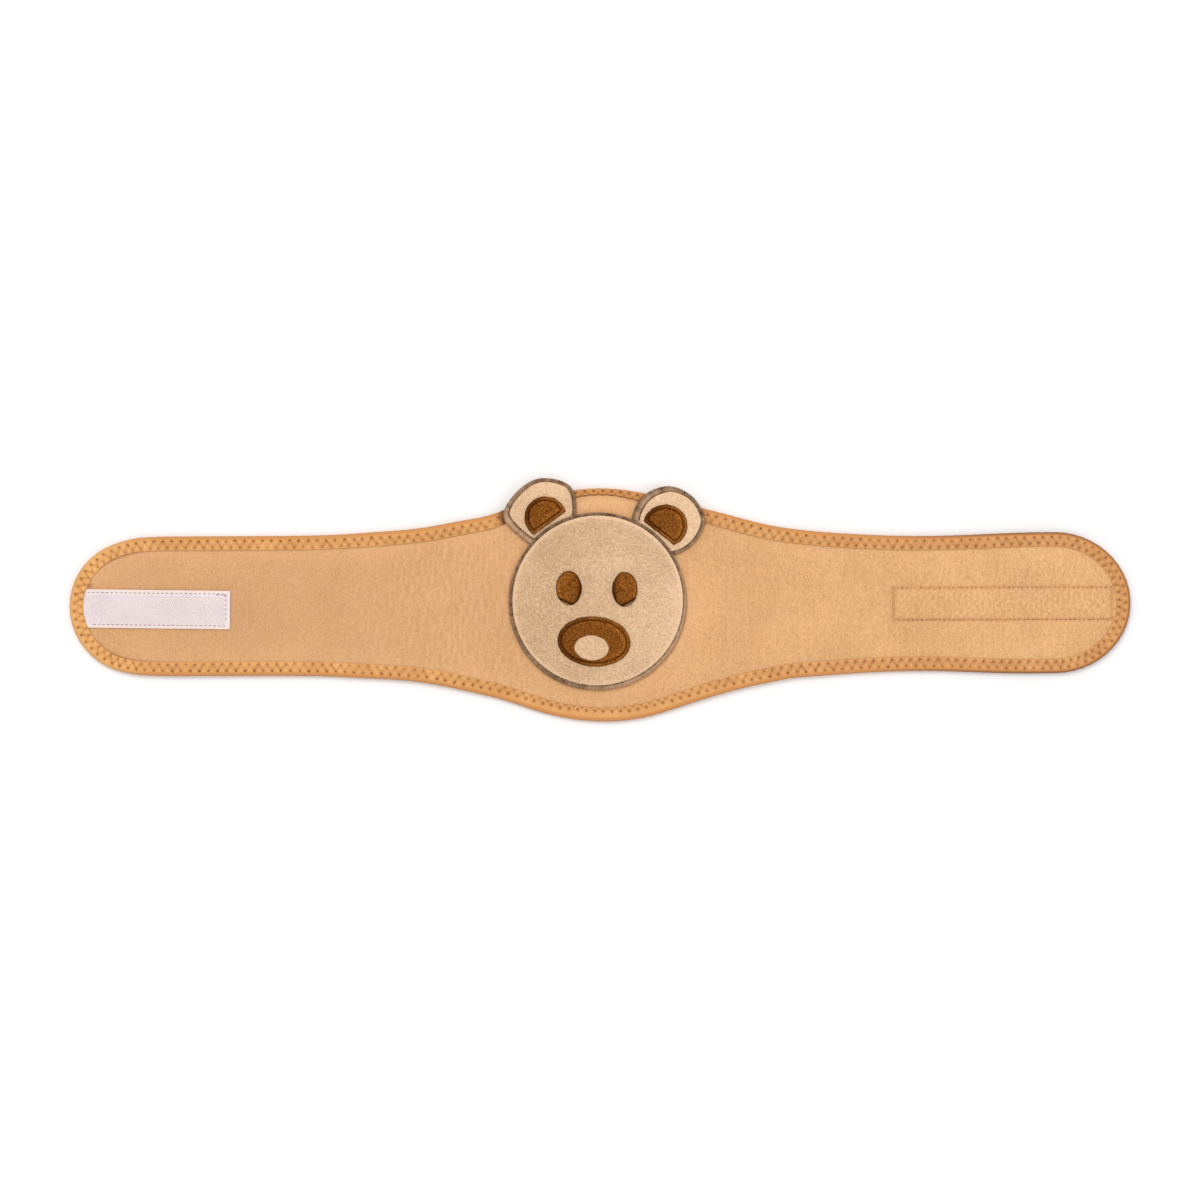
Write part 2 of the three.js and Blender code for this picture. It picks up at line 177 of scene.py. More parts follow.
HIDDEN_HOLES = {"darker": 0.5, "wider": 0.3}  # where the zigzag hardly shows
PALE_HOLES = {"right_arm": 0.3, "left_tip": 0.45, "tip_spread": 25}
EAR_SIDE_HOLES = (-0.25, 0.4)  # how much darker the outer and inner ones are left of the ears
CHANNEL_DEPTH = 0.5
CHANNEL_RADIUS = 0.72
CHANNEL_DARKNESS = (0.12, 0.5)  # painted shade in the channels: least and most, from stitch to stitch
RIGHT_ARM = (60, 140)
STROKE = {"darkness": 0.75, "inner_half": (4.2, 5.4)}  # of every second stitch, on the right arm
ZIGZAG_SINK = {"holes": 1.2, "hidden": 0.6, "level": 0.4}

# Hook tape on the face of the left end, turned a little about its free end
TAPE_HALF_WIDTH = 10.0
TAPE_GROUND = 0.6
TAPE_PLAIN_EDGE = 1.9
TAPE_FIELD_EDGE = (-0.2, 0.2)
TAPE_ROWS = 31
TAPE_WEAVE = 0.04
TAPE_GAP = 0.1  # between a tape and the binding
TAPE_STEP = 0.1  # in which the binding is looked for along a tape
TAPE_RIDGE = Mark(0.2, 4.5, 2.5)  # the panel swells beside it
TAPE_SHADE = Fade(0.12, 0.7)
TAPE_NOTCH = (-264.4, 8.3)  # the shadow where its upper edge goes under the binding
NOTCH_SHADE = Mark(0.8, 0, 1.6)
HOOK_TAPE = {"end": -191.6, "offset": -1.8, "tilt": math.radians(-0.9), "columns": 121}
HOOK_TAPE_REACH = (60, 90)  # the binding is met between these distances from its free end
HOOK_PITCH = (1.25, 1.04)  # along and across the tape
HOOK_BEND = ((0, -0.1), (0, 0.35), (0.06, 0.68), (0.26, 0.9), (0.48, 0.8), (0.56, 0.5))  # sideways and up
HOOK_JITTER = 0.08
HOOK_FOOT = 0.25  # a hook's foot lies this far from its row
HOOK_MARGINS = {"side": 0.3, "seam": 0.9, "binding": 0.7}
STITCH = {"pitch": 2.4, "length": 1.7}
TAPE_SEAM_INSET = 1.7
TAPE_SEAM_END = 2.2
TAPE_SEAM_MARGIN = 0.8
BACK_TACKS = (((5.4, -0.4), (0.0, -0.6)), ((0.7, -1.6), (0.5, 0.9)))  # from the seam's upper corner

# Loop tape on the back of the right end, and the sewn rectangle that holds it
LOOP_TAPE = {"start": 150.4, "columns": 161, "least": 90}  # least is less than its length
LOOP_COUNT = 1900
LOOP_MARGIN = 0.5
LOOP_FOOT = 0.05
LOOP_POINTS = 6
LOOP_SIDES = 4
LOOP_HALF_WIDTHS = (0.35, 0.65)  # least and most, as are the drops
LOOP_DROPS = (0.5, 0.8)
LOOP_POCKET = {"gap": 0.1, "between": (-0.48, -0.08)}  # the panel's back is pressed in over it
SEAM_BOX = {"left": 152.0, "right": 265.4, "half": 8.3}
SEAM_DEPTH = 0.7
SEAM_SPREAD = 0.75
SEAM_PUCKER = 0.3
SEAM_RIB_LOSS = 0.5
SEAM_FIELD = (0, 2)
SEAM_PUFF = {"height": 0.35, "between": (0, 4)}
SEAM_RIDGE = Mark(0.12, 2.4, 1.4)
SEAM_END_RIDGE = Mark(0.3, 2.6, 1.5)
SEAM_SHADE = 0.18
SEAM_END_SHADE = 0.12
SEAM_SUNK = {"ends": 0.4, "most": 0.15}

# Bear's head and ears, from the head's centre. An edging is widest at a bearing given in degrees, and has
# tones across it, from its outer side to its inner.
HEAD_BASE = 3.7
HEAD_THICKNESS = 5.0
HEAD_EDGE = 2.6
HEAD_SHIFT = (0.3, 0.6)  # where the pad came to lie when it was sewn on
HEAD_DRAWN = 0.55  # the sewing draws its edge in by this
HEAD_RIM_INSET = 1.0
HEAD_POINTS = 222
HEAD_RINGS = {"count": 28, "crowding": 1.4}
DOME = {"flatness": 5, "roundness": 0.55}
PUCKERS = {"height": 0.12, "count": 37, "drift": 2, "drifts": 5, "fall": 16}
PLUSH_UNEVEN = 0.08
# Painted highlight along the plush's rim
PLUSH_RIM_HIGHLIGHT = {"tone": 0.5, "start": 1.4, "reach": 0.8}
# Painted shade on the top of the head
FOREHEAD_SHADE = {"tone": 0.12, "above": (5, 30)}
HEAD_EDGING = {
    "narrow": 1.6, "wide": 2.6, "bearing": 260,
    "narrow_tones": (0.6, 0.4, 0.25, 0.1, 0.0), "wide_tones": (0.5, 0.42, 0.35, 0.3, 0.2),
    "haze": (1.2, 1.0, 0.75, 0.6, -0.1),
}
HEAD_EDGING_POINTS = 720
HEAD_EDGING_HEIGHT = 3.0
HEAD_EDGING_FOOT = 0.3
HEAD_FULLNESS = {"side": (-0.71, -0.71), "reach": 0.45, "fall": 4}  # the edging stands out further here
EAR_LEVEL = 4.5
EAR_STEP = {"depth": 0.7, "width": 4}  # from the binding down to the panel
EAR_THICKNESS = 3.0
EAR_EDGE = 1.8
EAR_SLOPE = 3.5
EAR_TUCK = 1.1  # the plush ends this far inside the edging's outer side
EAR_GAPS = {"plush": 0.15, "edging": -0.2}  # to the head
EAR_POINTS = 200
EAR_SPAN_POINTS = 45
EAR_ARC_POINTS = 40
EAR_RINGS = {"count": 18, "crowding": 1.3}
EAR_TONE = 0.55
EAR_FAR = 40.0  # further than this from the head, the distance to the ears isn't worked out
EAR_EDGING_HEIGHT = 2.3
EAR_EDGING_FOOT = 0.25
EAR_NARROW_TONES = (0.1, 0.15, 0.25, 0.3, 0.1)
EAR_HAZE = (0.75, 0.52, 0.15, -0.11, -0.16)
EARS = {
    "left": {
        "x": -29.0, "y": 44.9, "radii": (18.1, 21.5, 19.3, 17.5, 19.3, 15.3, 16.6, 17.6),
        "edging": {
            "narrow": 1.9, "wide": 3.8, "bearing": 215,
            "narrow_tones": EAR_NARROW_TONES, "wide_tones": (0.5, 0.8, 0.9, 0.8, 0.0), "haze": EAR_HAZE,
        },
    },
    "right": {
        "x": 37.3, "y": 41.8, "radii": (18.4, 17.6, 18.1, 18.5, 19.1, 18.1, 17.6, 17.2),
        "edging": {
            "narrow": 1.9, "wide": 4.2, "bearing": 155,
            "narrow_tones": EAR_NARROW_TONES, "wide_tones": (0.15, 0.3, 0.5, 0.95, 0.1), "haze": EAR_HAZE,
        },
    },
}

# Felt patches from the head's centre. One with a chord runs from one bearing to the other, and each has
# painted shade on its side at a bearing, in degrees, and a painted highlight on the opposite side.
Felt = namedtuple("Felt", "x y half tilt arc dark")
WHOLE_OVAL = (0, 360)
FELTS = {
    "inner_ear_left": Felt(-26.4, 43.9, (10.9, 10.9), 0, (17, 234.6), 165),
    "inner_ear_right": Felt(35.4, 39.5, (11.4, 10.9), 0, (-66.9, 168), 160),
    "eye_left": Felt(-14.5, 7.4, (6.6, 8.9), 0, (-72, 214), -15),
    "eye_right": Felt(14.3, 6.6, (6.5, 9.0), 0, (-30, 252), 195),
    "muzzle": Felt(-1.7, -20.2, (18.9, 12.9), -4, WHOLE_OVAL, 185),
    "nose_patch": Felt(-2.9, -23.5, (8.9, 6.5), -4, WHOLE_OVAL, 185),
}
FELT_THICKNESS = 1.1
FELT_GAP = 0.05
FELT_ROUNDING = 0.5
FELT_EDGE_SHARE = 0.25  # of its thickness, at its cut edge
FELT_POINTS = 150
FELT_ARC_POINTS = 181
FELT_RINGS = {"count": 24, "crowding": 1.25}
FELT_RIM_WAVES = (8, 2.5, 9)
FELT_RIM_UNEVEN = 0.1
FELT_FACE_WAVES = (8, 4, 14)
FELT_UNEVEN = 0.05
FELT_COVER = 0.95  # the nap stops inside a patch's oval
FELT_STITCH = {"pitch": 2.1, "length": 1.6}
FELT_SEAM = 1.9  # the sewn line's distance from the edge
FELT_SEAM_SLACK = 0.12
FELT_GROOVE = Mark(0.4, FELT_SEAM, 0.5)
FELT_RIM_SHADE = 0.85
FELT_RIM = (-0.9, 0)
# Painted shade on one side of a felt patch; the bands below are painted highlights on its other side
FELT_SHADED_SIDE = Fade(1.1, 1.5)
FELT_SEAM_SHADE = Mark(0.9, FELT_SEAM, 0.55)
FELT_MIDDLE = {"shade": 0.38, "inside": (2.2, 3.8)}
FELT_HIGHLIGHT_BAND = Mark(0.3, 3.2, 1.2)
EYE_SHADE = 0.3
EYE_HIGHLIGHT_BAND = Mark(0.3, 1.1, 0.8)
EYE_LIP = {"thickness": 0.3, "past": (-0.25, 0.25), "wear": (0.12, 0.72), "shade": 0.1}  # past its chord, a thin felt lip with a painted shadow
EYE_CHORD = Mark(0.95, 0.1, 0.6)
EYE_LIP_RIM = Fade(0.3, 0.6)
NOSE_GAP = 0.1
NOSE_RIM = Fade(0.4, 0.25)

# Swelling of the padded pieces by cloth simulation, on a skin that is held where it is sewn down
SKIN_SCALE = 0.1  # the skin is simulated at a unit to 10 mm, where the solver's stiffness suits its size
SKIN_FRAMES = 20
SKIN_MASS = 0.05
SKIN_SLACK = 0.0005
SKINS = {
    "panel": {"step": SEAM_BOX["half"] / 3, "pressure": 0.05, "cap": 0.45},
    "head": {"step": 1.5, "pressure": 0.2, "cap": 0.5},
    "ears": {"step": 1.2, "pressure": 0.3, "cap": 0.4},
}
SKIN_UNDER_BINDING = 0.5
SKIN_UNDER_HEAD = 1
LAST_CELL = 1.001  # taken off a grid's counts, so that a place lies before its last row

# Threads and fibres. Each thread, wire, yarn and fibre is given by its radius.
ZIGZAG_THREAD = 0.24
SEAM_THREAD = 0.2
FELT_THREAD = 0.28
EDGING_THREAD = 0.4
EDGING_PITCH = 0.72
EDGING_POINTS = 9
EDGING_SIDES = 6
EDGING_START = 0.15
EDGING_SLANT = 0.5
EDGING_JITTER = 0.06
EDGING_SUNK = 0.3
EDGING_CREST = 0.1
EDGING_ROUNDNESS = 0.7
EDGING_BLOTCH = 0.13
EDGING_TONES = (-0.1, 0.15)  # least and most, from thread to thread
EDGING_SHARES = (0, 0.2, 0.45, 0.65, 0.85)  # where its tones lie across it
EDGING_HAZE = (0.85, -0.53)  # the side on which its haze tones are added
HOOK_WIRE = 0.13
HOOK_SIDES = 5
LOOP_YARN = 0.07
STITCH_SIDES = 6
STITCH_TAPER = np.array([0.75, 1, 1, 1, 1, 0.75])
STITCH_SINK = 0.3
STITCH_LIFT = 0.8  # a stitch stands this share of its thread's radius off the cloth
STITCH_ROUNDNESS = 0.5
NAP_FIBRE = 0.05
NAP_RUFFLE = 0.55
NAP_LEAN = (0.3, 0.8)  # least and most, as are the shares of a nap's length
NAP_LENGTHS = (0.6, 1.3)
NAPS = {  # those that lose places off their cloth have more drawn, by this factor
    "panel": {"count": 26000, "drawn": 3, "length": 0.75, "comb": (0.1, -0.5), "darkest": 0.75},
    "head": {"count": 20000, "length": 0.7, "comb": (0.15, -0.5), "darkest": 0.6},
    "ear": {"count": 4000, "drawn": 2, "length": 0.6, "comb": (0.1, -0.4), "darkest": 0.4},
}
NAP_MARGINS = {"binding": 0.4, "tape": 0.2, "head": 0.3, "plush": 0.8}
FIBRE_AXIS = (0.31, 0.57, 0.76)  # leans to no fibre

# Studio, in metres and degrees
VIEW_WIDTH = 0.6215
LENS = 100
SENSOR = 36
CAMERA_ROLL = -0.22  # the small angle at which the belt lies in the picture
CLIP_END = 50
FLOOR_REACH = 3.0
FLOOR_LEVEL = -0.0003
FLOOR_PAINT = {"Base Color": (0.96, 0.96, 0.96, 1), "Roughness": 1, "Specular IOR Level": 0}
SKY = {"Color": (1, 1, 1, 1), "Strength": 0.74}
LIGHTS = {
    "key": {"place": (-0.4, 0.75, 1.9), "size": 1.0, "power": 16},
    "fill": {"place": (1.2, -0.6, 1.8), "size": 1.6, "power": 4.3},
}


def node_box(node):
    low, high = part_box(node)
    return np.array(low) / MM, np.array(high) / MM


binding_low, binding_high = node_box("edge_binding")
AXIS = (binding_low[1] + binding_high[1]) / 2
HALF_LENGTH = (binding_high[0] - binding_low[0]) / 2
BINDING_TOP = binding_high[2]
FOLD = BINDING_TOP / 2
PANEL_TOP = node_box("belt_panel")[1][2]
HOOK_TAPE_LOW = node_box("hook_tape")[0][2]
HOOK_TAPE_TOP = HOOK_TAPE_LOW + TAPE_GROUND
LOOP_TAPE_TOP = node_box("loop_tape")[1][2]
LOOP_TAPE_LOW = LOOP_TAPE_TOP - TAPE_GROUND
head_low, head_high = node_box("head_edging")
HEAD_CENTRE = (head_low[:2] + head_high[:2]) / 2
HEAD_MIDDLE = HEAD_CENTRE + HEAD_SHIFT
HEAD_RADIUS = (head_high[0] - head_low[0]) / 2 - HEAD_DRAWN
HEAD_RIM = HEAD_RADIUS - HEAD_RIM_INSET


# Lines and surfaces

def smooth(share):
    share = np.clip(share, 0, 1)
    return share * share * (3 - 2 * share)


def ramp(values, start, end):
    """0 up to a start and 1 from an end, with a smooth rise between them."""
    return smooth((values - start) / (end - start))


def bell(distance, spread):
    return np.exp(-((distance / spread) ** 2))


def mark(values, amount, place, spread):
    return amount * bell(values - place, spread)


def fade(distance, amount, reach):
    """An amount that dies away with the distance from a line, and is whole on its other side."""
    return amount * np.exp(-np.clip(distance, 0, None) / reach)


def spots(along, rows, side):
    """The spots of one side of the edge, added up at places along it."""
    return sum(mark(along, row.amount, row.place, row.spread) for row in rows if row.side == side)


def half_width(along):
    belly = (BELLY_HALF_WIDTH - ARM_HALF_WIDTH) * bell(along, BELLY_SPREAD)
    return ARM_HALF_WIDTH + belly - mark(along, *WAIST)


def upper_edge():
    """Closely spaced points on the belt's upper edge, from its right tip to its left."""
    end_start = HALF_LENGTH - END_LENGTH
    turn = np.linspace(0, math.pi / 2, END_POINTS)
    right = end_start + END_LENGTH * np.cos(turn)
    arms = np.linspace(end_start, -end_start, ARM_POINTS)[1:-1]
    along = np.concatenate([right, arms, -right[::-1]])
    share = np.concatenate([np.sin(turn), np.ones(len(arms)), np.sin(turn)[::-1]])
    return np.stack([along, half_width(along) * share], axis=1)


def wavered(line, side):
    """One side's edge line with its small wavers, which die away at the tips."""
    along = line[:, 0]
    rise = WAVER_RISE + spots(along, WAVERS, side) * ramp(HALF_LENGTH - np.abs(along), 0, WAVER_END)
    return line + np.column_stack([np.zeros(len(line)), rise])


def lengths(line):
    """Distance along an open line at each of its points."""
    return np.concatenate([[0], np.cumsum(np.linalg.norm(np.diff(line, axis=0), axis=1))])


def sampled(run, values, wanted):
    """Columns of values that are known along a run, at the wanted distances."""
    return np.stack([np.interp(wanted, run, column) for column in values.T], axis=1)


def closed(line):
    return np.vstack([line, line[:1]])


def closed_evenly(line, count):
    """A closed line, with equally spaced points."""
    whole = closed(line)
    run = lengths(whole)
    return sampled(run, whole, np.linspace(0, run[-1], count, endpoint=False))


def unit(vectors):
    return vectors / np.linalg.norm(vectors, axis=-1, keepdims=True)


def inward(line):
    """Unit normals of a closed anticlockwise line, pointing in."""
    step = np.roll(line, -1, axis=0) - np.roll(line, 1, axis=0)
    return unit(np.stack([-step[:, 1], step[:, 0]], axis=1))


def distance_to(line, points):
    """Distance from each point to the nearest point of a line."""
    gaps = points[:, None, :] - line[None, :, :]
    return np.sqrt((gaps ** 2).sum(axis=2).min(axis=1))


def within(line, points):
    """Which points lie in a closed line."""
    ahead = np.roll(line, -1, axis=0)
    x, y = points[:, :1], points[:, 1:]
    spans = (line[:, 1] > y) != (ahead[:, 1] > y)
    height = np.where(ahead[:, 1] == line[:, 1], 1, ahead[:, 1] - line[:, 1])
    crossing = line[:, 0] + (y - line[:, 1]) * (ahead[:, 0] - line[:, 0]) / height
    return (spans & (x < crossing)).sum(axis=1) % 2 == 1


def turned(points, angle):
    cos, sin = math.cos(angle), math.sin(angle)
    return points @ np.array([[cos, sin], [-sin, cos]])


def directions(bearings):
    """Plan vectors of length 1."""
    return np.column_stack([np.cos(bearings), np.sin(bearings)])


def full_turn(count):
    return 2 * math.pi * np.arange(count) / count


def ripples(count, shortest, longest):
    """Seeded waves that ripple() adds up: directions, lengths and phases."""
    turn = rng.uniform(0, 2 * math.pi, count)
    wave = 2 * math.pi / rng.uniform(shortest, longest, count)
    return wave * np.cos(turn), wave * np.sin(turn), rng.uniform(0, 2 * math.pi, count)


def ripple(points, waves):
    """A soft uneven surface, mostly between -1 and 1."""
    kx, ky, phase = waves
    angle = points[..., :1] * kx + points[..., 1:2] * ky + phase
    return np.sin(angle).sum(axis=-1) / math.sqrt(len(kx))


uneven = {name: ripples(*row) for name, row in WAVES.items()}

# The belt's edge, with equally many points to each zigzag
upper = upper_edge()
lower = upper[-2:0:-1] * (1, -1)
outline = np.vstack([wavered(upper, "above"), wavered(lower, "below")]) + (0, AXIS)
PERIMETER = lengths(closed(outline))[-1]
ZIGZAGS = round(PERIMETER / ZIGZAG_PITCH)
edge = closed_evenly(outline, ZIGZAGS * COLUMNS_PER_ZIGZAG)
edge_x = edge[:, 0]
edge_normal = inward(edge)
edge_above = edge[:, 1] > AXIS
edge_tree = KDTree(len(edge))
for number, (x, y) in enumerate(edge):
    edge_tree.insert((x, y, 0), number)
edge_tree.balance()


def along_edge(*rows):
    """Spots added up at each point of the edge."""
    return np.where(edge_above, spots(edge_x, rows, "above"), spots(edge_x, rows, "below"))


def column_at(place):
    """Number of the edge point nearest to a place along the edge, in zigzags."""
    return np.round(place * COLUMNS_PER_ZIGZAG).astype(int) % len(edge)


# The binding's flap on the face as a share of its full width, and the widths that show, at each edge point
flap_share = 1 - along_edge(ROLLED)
face_rim = BINDING_WIDTH * flap_share
back_rim = BINDING_WIDTH * (2 - flap_share)
rim_line = RIM_LINE + along_edge(*RIM_LINES)
zigzag_shows = 1 - along_edge(*ZIGZAG_HIDDEN)
left_of_ears = along_edge(LEFT_OF_EARS)

# Needle holes of the zigzag, outer and inner by turns
hole_place = np.arange(2 * ZIGZAGS) / 2 + rng.normal(0, HOLE_JITTER["along"], 2 * ZIGZAGS)
hole_inset = np.tile(ZIGZAG_ROWS, ZIGZAGS) + rng.normal(0, HOLE_JITTER["across"], 2 * ZIGZAGS)
for drift in ZIGZAG_DRIFTS:
    hole_inset += np.tile(drift["insets"], ZIGZAGS) * along_edge(drift["where"])[column_at(hole_place)]
hole_strength = rng.uniform(*HOLE_STRENGTHS, 2 * ZIGZAGS)
channel_darkness = rng.uniform(*CHANNEL_DARKNESS, 2 * ZIGZAGS)


def from_edge(points):
    """How far inside the belt's edge each point is, and the number of the nearest edge point."""
    nearest = np.array([edge_tree.find((x, y, 0))[1] for x, y in points])
    return np.einsum("ij,ij->i", points - edge[nearest], edge_normal[nearest]), nearest


def on_edge(place, inset):
    """Points at places along the edge, in zigzags, across the binding's face, and how far in they lie."""
    column = (place * COLUMNS_PER_ZIGZAG) % len(edge)
    known = closed(np.column_stack([edge, edge_normal, flap_share]))
    values = sampled(np.arange(len(known)), known, column)
    across = inset * values[:, 4]
    return values[:, :2] + values[:, 2:4] * across[:, None], across


def floor_lift(points):
    """How far the soft belt stands off the floor, in gentle waves."""
    return LIFT * smooth(0.5 + 0.5 * ripple(points, uneven["lift"]))


# Meshes

def add_object(name, data):
    thing = bpy.data.objects.new(name, data)
    bpy.context.scene.collection.objects.link(thing)
    return thing


def add_piece(name, points, faces, material, slot, **attributes):
    """A mesh object that rides on the belt. faces is a list of arrays with a row to a face."""
    points = np.array(points)
    points[:, 2] += floor_lift(points[:, :2])
    mesh = bpy.data.meshes.new(name)
    mesh.vertices.add(len(points))
    mesh.vertices.foreach_set("co", (points * MM).astype(np.float32).ravel())
    corners = np.concatenate([rows.ravel() for rows in faces]).astype(np.int32)
    sizes = np.concatenate([np.full(len(rows), rows.shape[1]) for rows in faces])
    mesh.loops.add(len(corners))
    mesh.loops.foreach_set("vertex_index", corners)
    mesh.polygons.add(len(sizes))
    starts = np.concatenate([[0], np.cumsum(sizes)[:-1]]).astype(np.int32)
    mesh.polygons.foreach_set("loop_start", starts)
    mesh.update(calc_edges=True)
    mesh.validate()
    mesh.shade_smooth()
    for key, values in attributes.items():
        layer = mesh.attributes.new(key, "FLOAT", "POINT")
        layer.data.foreach_set("value", np.clip(values, 0, 1).astype(np.float32).ravel())
    mesh.materials.append(material)
    piece = add_object(name, mesh)
    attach(piece, "root")
    return piece


def joined(parts):
    """Faces from the corner numbers of each of their corners."""
    return np.stack([part.reshape(-1) for part in parts], axis=1)


def tube_faces(count, ring_count, around, closed_up):
    """Faces of many tubes, each of equally many rings of points, with closed ends unless they are loops."""
    index = np.arange(count * ring_count * around).reshape(count, ring_count, around)
    ahead = np.roll(index, -1, axis=1) if closed_up else index[:, 1:]
    behind = index if closed_up else index[:, :-1]
    walls = joined([behind, np.roll(behind, -1, axis=2), np.roll(ahead, -1, axis=2), ahead])
    return [walls] if closed_up else [walls, index[:, 0, ::-1], index[:, -1]]


def rings(aside, up, around):
    """Unit circles of points in the planes of pairs of vectors."""
    turn = full_turn(around)
    return aside[..., None, :] * np.cos(turn)[:, None] + up[..., None, :] * np.sin(turn)[:, None]


def strands(paths, across, radii, around):
    """Points and faces of closed tubes along paths. across is square to each path's upright plane."""
    along = unit(np.gradient(paths, axis=1))
    aside = np.broadcast_to(across[:, None, :], along.shape)
    ring = rings(aside, np.cross(along, aside), around)
    points = paths[:, :, None, :] + ring * np.reshape(radii, (1, -1, 1, 1))
    return points.reshape(-1, 3), tube_faces(len(paths), paths.shape[1], around, False)


def square_to(flat):
    """Level unit vectors square to plan vectors."""
    return unit(np.column_stack([flat[:, 1], -flat[:, 0], np.zeros(len(flat))]))


def random_tones(count, points):
    """A random tone for each of many strands, repeated for its points."""
    return np.repeat(rng.uniform(0, 1, count), len(points) // count)


def add_strands(name, paths, across, radii, around, material, slot):
    points, faces = strands(paths, across, radii, around)
    add_piece(name, points, faces, material, slot, tone=random_tones(len(paths), points))


def spikes(bases, tips, width):
    """Points and faces of closed three sided fibres."""
    lean = unit(tips - bases)
    aside = unit(np.cross(lean, np.tile(FIBRE_AXIS, (len(lean), 1))))
    feet = bases[:, None, :] + rings(aside, np.cross(lean, aside), 3) * width
    points = np.concatenate([feet, tips[:, None, :]], axis=1).reshape(-1, 3)
    first = np.arange(len(bases))[:, None, None] * 4
    corners = np.array([[0, 2, 1], [0, 1, 3], [1, 2, 3], [2, 0, 3]])
    return points, [(first + corners).reshape(-1, 3)]


def slab(plan, top, low, coarse):
    """A closed slab on a grid of plan points, in columns of rows. Its underside has fewer columns."""
    columns, rows = plan.shape[:2]
    over = np.dstack([plan, top]).reshape(-1, 3)
    under = np.dstack([plan[::coarse], low]).reshape(-1, 3)
    up = np.arange(columns * rows).reshape(columns, rows)
    down = np.arange(low.size).reshape(low.shape) + up.size
    quads = joined([up[:-1, :-1], up[1:, :-1], up[1:, 1:], up[:-1, 1:]])
    backs = joined([down[:-1, :-1], down[:-1, 1:], down[1:, 1:], down[1:, :-1]])
    steps = [up[k:columns - coarse + k:coarse] for k in range(coarse)] + [up[coarse::coarse]]
    near = joined([down[:-1, 0], down[1:, 0]] + [step[:, 0] for step in steps[::-1]])
    far = joined([down[1:, -1], down[:-1, -1]] + [step[:, -1] for step in steps])
    ends = [np.concatenate([down[0, ::-1], up[0]]), np.concatenate([down[-1], up[-1, ::-1]])]
    return np.vstack([over, under]), [quads, backs, near, far] + [end[None, :] for end in ends]


def patch(rim, centre, count, crowding, top, under):
    """A closed pad in a rim that is star shaped round its centre, with its rings crowded towards the rim.

    top() and under() give its levels.
    """
    shares = 1 - np.linspace(0, 1, count + 1)[:-1] ** crowding
    plan = np.vstack([rim] + [centre + (rim - centre) * share for share in shares] + [centre[None, :]])
    levels = top(plan, distance_to(rim, plan))
    levels[:len(rim)] = under(rim)
    bottom = np.append(centre, under(centre[None, :])[0])
    points = np.vstack([np.column_stack([plan, levels]), bottom])
    around = len(rim)
    index = np.arange(around * (len(shares) + 1)).reshape(-1, around)
    beside = np.roll(index, -1, axis=1)
    walls = joined([index[:-1], beside[:-1], beside[1:], index[1:]])
    crown = np.full(around, len(points) - 2)
    foot = np.full(around, len(points) - 1)
    return points, [walls, joined([index[-1], beside[-1], crown]), joined([beside[0], index[0], foot])]


def along_seams(lines, pitch, length):
    """Starts and ends of the stitches along open lines."""
    starts, ends = [], []
    for line in lines:
        run = lengths(line)
        places = np.arange(max(1, int(run[-1] / pitch))) * pitch
        starts.append(sampled(run, line, places))
        ends.append(sampled(run, line, places + length))
    return np.vstack(starts), np.vstack(ends)


def add_stitches(name, starts, ends, level, thread, material, slot, side=1):
    """Single stitches that rise out of the cloth, lie on it and go back in. side is -1 on its back."""
    share = np.linspace(0, 1, len(STITCH_TAPER))
    flat = starts[:, None, :] + (ends - starts)[:, None, :] * share[:, None]
    bow = np.sin(math.pi * share) ** STITCH_ROUNDNESS
    rise = (STITCH_SINK + STITCH_LIFT * thread) * bow - STITCH_SINK
    paths = np.dstack([flat, np.broadcast_to(level, len(starts))[:, None] + side * rise])
    add_strands(name, paths, square_to(ends - starts), thread * STITCH_TAPER, STITCH_SIDES, material, slot)


def add_nap(name, plan, level, nap, material, slot):
    """Short fibres on a cloth, combed one way and ruffled."""
    count = len(plan)
    flat = np.array(nap["comb"]) + rng.normal(0, NAP_RUFFLE, (count, 2))
    lean = unit(np.column_stack([flat, rng.uniform(*NAP_LEAN, count)]))
    bases = np.column_stack([plan, level - NAP_FIBRE])
    tips = bases + lean * (nap["length"] * rng.uniform(*NAP_LENGTHS, count))[:, None]
    points, faces = spikes(bases, tips, NAP_FIBRE)
    tone = nap["darkest"] + (1 - nap["darkest"]) * random_tones(count, points)
    add_piece(name, points, faces, material, slot, tone=tone)


# Materials

FABRIC_GLOSS = 0.15
SHEEN_ROUGHNESS = 0.5
MIX_COLOURS = (6, 7)  # the sockets of a mix node that take colours
MIX_RESULT = 2  # and the one that gives a colour


def set_values(node, values):
    for key, value in values.items():
        node.inputs[key].default_value = value


